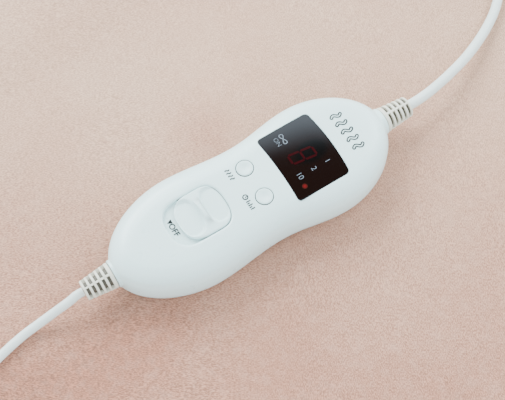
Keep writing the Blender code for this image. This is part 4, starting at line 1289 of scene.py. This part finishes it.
# x, y and the height of the cord over where it would lie
LEAD_ROUTE = (
    (-0.1177, -0.0995, 0.0080),
    (-0.1241, -0.1035, 0.0049),
    (-0.1315, -0.1085, 0.0020),
    (-0.1377, -0.1133, 0.0007),
    (-0.1425, -0.1180, 0.0003),
    (-0.1489, -0.1252, 0.0000),
    (-0.1680, -0.1480, 0.0000),
    (-0.1900, -0.1680, 0.0000),
    (-0.2250, -0.1880, 0.0000),
    (-0.2700, -0.1990, 0.0000),
    (-0.3250, -0.2020, 0.0000),
    (-0.3850, -0.1960, 0.0000),
    (-0.4450, -0.1830, 0.0000),
    (-0.5050, -0.1700, 0.0000),
    (-0.5600, -0.1620, 0.0002),
    (-0.6050, -0.1600, 0.0012),
    (-0.6320, -0.1600, 0.0030),
    (-0.6443, -0.1600, 0.0030),
)


def lying(x, y, over, radius):
    """A point of a cord's middle, so far over where it would lie on the cloth."""
    under = max(rise(x + dx, y + dy) for dx in (-radius, radius) for dy in (-radius, radius))
    return Vector((x, y, over + CLOTH_THICK + under + CORD_LIFT + radius))


def relief_exit(u, radius):
    """Straight start of a cord out of the controller's strain relief."""
    further = u + math.copysign(STRAIGHT_DIAMETERS * 2 * radius, u)
    return [at_controller(u, 0.0, PARTING_Z), at_controller(further, 0.0, PARTING_Z)]


def cord(name, points, radius, finish, stands_for):
    """A round cord along the given points."""
    curve = bpy.data.curves.new(name, "CURVE")
    curve.dimensions = "3D"
    curve.bevel_depth = radius
    curve.bevel_resolution = 4
    curve.use_fill_caps = True
    spline = curve.splines.new("POLY")
    spline.points.add(len(points) - 1)
    for slot, point in zip(spline.points, points):
        slot.co = (*point, 1.0)
    curve.materials.append(finish.material)
    obj = placed(name, curve)
    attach(obj, "blanket")
    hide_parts(*stands_for)
    return obj


vinyl = Finish("white_vinyl", {"Specular IOR Level": 0.4})
waves = vinyl.noise(160.0, 3.0)
scuffs = vinyl.noise(900.0, 3.0, 0.6)
skin = vinyl.blend(vinyl.ramp(waves, 0.3, 0.7), (0.644, 0.695, 0.681), (0.694, 0.735, 0.720))
vinyl.set({"Base Color": skin, "Roughness": 0.36 + scuffs * 0.16})
vinyl.bump(waves * 0.6 + scuffs * 0.15, 0.0001, 0.5)

lead_tip_u = LEAD_NECK_U - relief_length(LEAD_RELIEF) - SOLID_GAP
lead_bends = relief_exit(lead_tip_u, LEAD_RADIUS) + [lying(*row, LEAD_RADIUS) for row in LEAD_ROUTE]
lead_line = smooth_route(lead_bends, 0.002)
lead = cord("lead", lead_line, LEAD_RADIUS, vinyl, ("lead_cord",))

# --------------------------------------------------------------------------------
# Inlet: the block where the lead goes into the blanket and meets its heating wire. Two white mouldings that
# clip together through the cloth, with a ring of stitches round them and a ribbed relief on the lead.

INLET = Vector((-0.690, -0.160, CLOTH_THICK + SOLID_GAP))
INLET_LENGTH = 0.046
INLET_WIDTH = 0.034
INLET_CORNER = 0.009
INLET_PROFILE = (  # how far inside the outline, and how high
    (0.0010, 0.0),
    (0.0, 0.0012),
    (0.0001, 0.0040),
    (0.0004, 0.0085),
    (0.0018, 0.0108),
    (0.0042, 0.0120),
)
INLET_PANEL = ((0.0072, 0.0120), (0.0078, 0.0116), (0.0086, 0.0115))  # sunk into the middle of the top
INLET_ENTRY = 0.0055
JOINT_DEPTH = 0.0004  # of the line where the two mouldings meet
INLET_RELIEF = Relief(0.00500, 0.00330, 0.0, 0.0060, 3, 0.0048, 0.0054)
SEWN_OUTSIDE = 0.0045


def inlet_ring(inset, height):
    ring = rounded_rectangle(INLET_LENGTH - 2 * inset, INLET_WIDTH - 2 * inset, INLET_CORNER - inset)
    return [INLET + Vector((p.x, p.y, height)) for p in ring]


block = bmesh.new()
inlet_rows = smooth_route([Vector(row) for row in INLET_PROFILE], 0.0006)
min(inlet_rows, key=lambda row: abs(row.y - INLET_ENTRY)).x += JOINT_DEPTH
loft(block, [inlet_ring(*row) for row in (*inlet_rows, *INLET_PANEL)])
piece("inlet", merged(block), gloss, stands_for=("inlet_housing",))
stand = Matrix.Translation(INLET + Vector((INLET_LENGTH / 2, 0, INLET_ENTRY)))
mesh = relief_mesh(INLET_RELIEF, gloss, LEAD_RADIUS, stand @ Matrix.Rotation(math.pi / 2, 4, "Y"))
piece("inlet_relief_dressed", mesh, gloss, stands_for=("inlet_relief",))
sewn_round = [(x, y, cloth_top(x, y) + STITCH_PROUD) for x, y, _ in inlet_ring(-SEWN_OUTSIDE, 0.0)]
inlet_stitches = stitches("inlet_stitches", sewn_round)

# --------------------------------------------------------------------------------
# Coil tie: a strap of woven hook-and-loop tape, wrapped once round the wound mains cord, with its free end
# pressed down over its start.

COIL_X = 0.0570
COIL_Y = 0.1400
TURN_OUTER = 0.0355  # radius of the outermost turn's middle
TURN_INNER = 0.0234
TURN_PITCH = 0.0052
COIL_LAYERS = 4
COIL_TURNS = 9.25
TURN_POINTS = 24
CLIMB = 0.12  # share of a layer over which the cord climbs to the next one
TIE_THICK = 0.0006
TIE_WIDTH = 0.009
TIE_ANGLE = math.radians(215)
TIE_PLAY = 0.0006  # room for the coil's curve inside the straight tie
TIE_CORNER = 0.0009
TIE_LAP_GAP = 0.00005
TIE_OVERLAP = 0.62  # share of the loop that the free end covers
coil_floor = CLOTH_THICK + 2 * SOLID_GAP + TIE_THICK


def strap(shape, loop, thick):
    """A strap of the tie's width along points in the plane of the coil's section."""
    rings = []
    for i, point in enumerate(loop):
        before, after = loop[max(i - 1, 0)], loop[min(i + 1, len(loop) - 1)]
        along = (after - before).normalized()
        outward = Vector((along.y, -along.x))
        section = rounded_rectangle(TIE_WIDTH, thick, thick * 0.45, 2)
        ring = [point + outward * (p.y + thick / 2) for p in section]
        rings.append([(at.x, p.x, at.y) for at, p in zip(ring, section)])
    loft(shape, rings)


coil_high = coil_floor + (COIL_LAYERS - 1) * TURN_PITCH + 2 * MAINS_RADIUS
across = (TURN_OUTER - TURN_INNER) / 2 + MAINS_RADIUS + SOLID_GAP + TIE_PLAY
up = (coil_high - coil_floor) / 2 + SOLID_GAP
middle = Vector(((TURN_OUTER + TURN_INNER) / 2, (coil_high + coil_floor) / 2))
wrap = bmesh.new()
loop = [middle + p for p in rounded_rectangle(2 * across, 2 * up, TIE_CORNER)]
strap(wrap, [*loop, loop[0]], TIE_THICK)
outer = 2 * (TIE_THICK + TIE_LAP_GAP)
outer_loop = rounded_rectangle(2 * across + outer, 2 * up + outer, TIE_CORNER + TIE_THICK)
outer_loop = [middle + p for p in outer_loop[: round(TIE_OVERLAP * len(outer_loop))]]
strap(wrap, outer_loop, TIE_THICK)
merged(wrap).transform(Matrix.Translation((COIL_X, COIL_Y, 0)) @ Matrix.Rotation(TIE_ANGLE, 4, "Z"))
tape = Finish("woven_tape", {"Roughness": 0.85, "Sheen Weight": 0.2})
weave = tape.noise(1400.0, 2.0)
tape.set({"Base Color": tape.blend(tape.ramp(weave, 0.35, 0.65), (0.42, 0.43, 0.42), (0.62, 0.63, 0.62))})
tape.bump(weave, 0.0003, 0.6)
tie = piece("tie", wrap, tape, stands_for=("coil_tie",))

# --------------------------------------------------------------------------------
# Plug: a flat two-pin plug of white vinyl, moulded in one with its relief on the end of the mains cord, with
# grip ripples round its back half. The pins are nickel-plated, with white sleeves at their roots.

PLUG_TIP_X = -0.0450
PLUG_Y = 0.1880
PLUG_LENGTH = 0.034
PLUG_HEIGHT = 0.0137
PLUG_SECTIONS = (  # distance from the back, width and height
    (0.0, 0.0150, 0.0110),
    (0.0012, 0.0170, 0.0120),
    (0.0136, 0.0252, 0.0126),
    (0.0255, 0.0340, PLUG_HEIGHT),
    (0.0325, 0.0350, PLUG_HEIGHT),
)
PLUG_FRONT = ((0.0332, 0.0350, PLUG_HEIGHT), (0.0338, 0.0345, 0.0131), (0.0340, 0.0336, 0.0123))
PLUG_ROUND = 0.42  # corner radius as a share of the height
PLUG_RELIEF = Relief(0.00560, 0.00360, 0.0, 0.0070, 3, 0.0052, 0.0056)
RIPPLES = (0.0045, 0.0165)  # from the back
RIPPLE_PITCH = 0.0024
RIPPLE_DEPTH = 0.0005
PIN_RADIUS = 0.0020
PIN_CORE = 0.0010  # radius inside the sleeve
PIN_LENGTH = 0.0190
PIN_ROUND = 0.0010
PIN_SLEEVE = 0.0095
SLEEVE_SHY = 0.00015  # how far the sleeve lies under the bare metal
PIN_SPACING = 0.0186
PIN_TIP_SPACING = 0.0175

plug_middle = CLOTH_THICK + SOLID_GAP + PLUG_HEIGHT / 2
plug_back = PLUG_TIP_X - relief_length(PLUG_RELIEF)
plug_front = plug_back - PLUG_LENGTH
casing = bmesh.new()
plug_rings = []
for distance, width, height in (*smooth_route([Vector(row) for row in PLUG_SECTIONS], 0.0005), *PLUG_FRONT):
    if RIPPLES[0] < distance < RIPPLES[1]:
        ripple = RIPPLE_DEPTH * math.sin(math.pi * (distance - RIPPLES[0]) / RIPPLE_PITCH) ** 2
        width, height = width - ripple, height - ripple
    ring = rounded_rectangle(width, height, PLUG_ROUND * height, 4)
    plug_rings.append([(plug_back - distance, PLUG_Y + p.x, plug_middle + p.y) for p in ring])
loft(casing, plug_rings)


def pin(shape, side, rows):
    """Round rings along a pin, which leans towards its fellow, as distances from the plug and radii."""
    rings = []
    for distance, radius in rows:
        spacing = PIN_SPACING + (PIN_TIP_SPACING - PIN_SPACING) * distance / PIN_LENGTH
        ring = circle(radius, 24, PLUG_Y + side * spacing / 2, plug_middle)
        rings.append([(plug_front - distance, p.x, p.y) for p in ring])
    loft(shape, rings)


tip = []
for angle in (0.4, 0.8, 1.2, 1.5):
    distance = PIN_LENGTH - PIN_ROUND * (1 - math.sin(angle))
    tip.append((distance, PIN_RADIUS - PIN_ROUND * (1 - math.cos(angle))))
sleeve = [(-0.001, PIN_RADIUS - SLEEVE_SHY), (PIN_SLEEVE, PIN_RADIUS - SLEEVE_SHY)]
bare = [(SOLID_GAP, PIN_CORE), (PIN_SLEEVE, PIN_CORE), (PIN_SLEEVE, PIN_RADIUS)]
bare.append((PIN_LENGTH - PIN_ROUND, PIN_RADIUS))
nickel = Finish("nickel_plate", {"Metallic": 1.0, "Base Color": (0.66, 0.64, 0.60)})
drawn = nickel.noise(3000.0, 2.0, stretch=(0.1, 1.0, 1.0))
nickel.set({"Roughness": 0.16 + drawn * 0.16})
for side, name in ((-1, "plug_pin_right"), (1, "plug_pin_left")):
    pin(casing, side, sleeve)
    prong = bmesh.new()
    pin(prong, side, bare + tip)
    piece(name + "_plated", merged(prong), nickel, stands_for=(name,))
piece("plug", merged(casing), vinyl, stands_for=("plug_body",))
stand = Matrix.Translation((plug_back, PLUG_Y, plug_middle)) @ Matrix.Rotation(math.pi / 2, 4, "Y")
mesh = relief_mesh(PLUG_RELIEF, vinyl, MAINS_RADIUS, stand)
piece("plug_relief_dressed", mesh, vinyl, stands_for=("plug_relief",))

# --------------------------------------------------------------------------------
# Mains cord: thicker than the lead. From the controller it rises off to the right, is wound up in a round
# coil of four layers, and ends in the plug beside it.

MAINS_ROUTE = (
    (0.0455, 0.0049, 0.0084),
    (0.0527, 0.0117, 0.0074),
    (0.0606, 0.0202, 0.0058),
    (0.0684, 0.0295, 0.0042),
    (0.0757, 0.0399, 0.0026),
    (0.0817, 0.0500, 0.0012),
    (0.0863, 0.0594, 0.0003),
    (0.0899, 0.0705, 0.0000),
    (0.0921, 0.0850, 0.0000),
    (0.0929, 0.1030, 0.0002),
    (0.0928, 0.1200, 0.0005),
)
TAIL_ROUTE = (
    (0.0360, 0.1766, 0.0150),
    (0.0260, 0.1780, 0.0123),
    (0.0100, 0.1808, 0.0067),
    (-0.0100, 0.1856, 0.0034),
    (-0.0300, 0.1880, 0.0040),
    (-0.0447, 0.1880, 0.0040),
)

coil_line = []
coil_steps = round(COIL_TURNS * TURN_POINTS)
for i in range(coil_steps + 1):
    layers = COIL_LAYERS * i / coil_steps
    layer = min(int(layers), COIL_LAYERS - 1)
    share = layers - layer
    inward = share if layer % 2 == 0 else 1 - share
    radius = TURN_OUTER + (TURN_INNER - TURN_OUTER) * inward
    climb = smooth(1 - CLIMB, 1, share) if layer < COIL_LAYERS - 1 else 0.0
    height = coil_floor + MAINS_RADIUS + TURN_PITCH * (layer + climb)
    angle = 2 * math.pi * i / TURN_POINTS
    coil_line.append(Vector((COIL_X + radius * math.cos(angle), COIL_Y + radius * math.sin(angle), height)))

mains_tip_u = MAINS_NECK_U + relief_length(MAINS_RELIEF) + SOLID_GAP
mains_bends = relief_exit(mains_tip_u, MAINS_RADIUS) + [lying(*row, MAINS_RADIUS) for row in MAINS_ROUTE]
mains_bends += coil_line + [lying(*row, MAINS_RADIUS) for row in TAIL_ROUTE]
mains_line = smooth_route(mains_bends, 0.0025)
mains = cord("mains", mains_line, MAINS_RADIUS, vinyl, ("mains_cord", "mains_coil", "mains_tail"))

sizes = {"cad": [list(corner) for corner in cad_box], "visual": [list(corner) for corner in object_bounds()]}
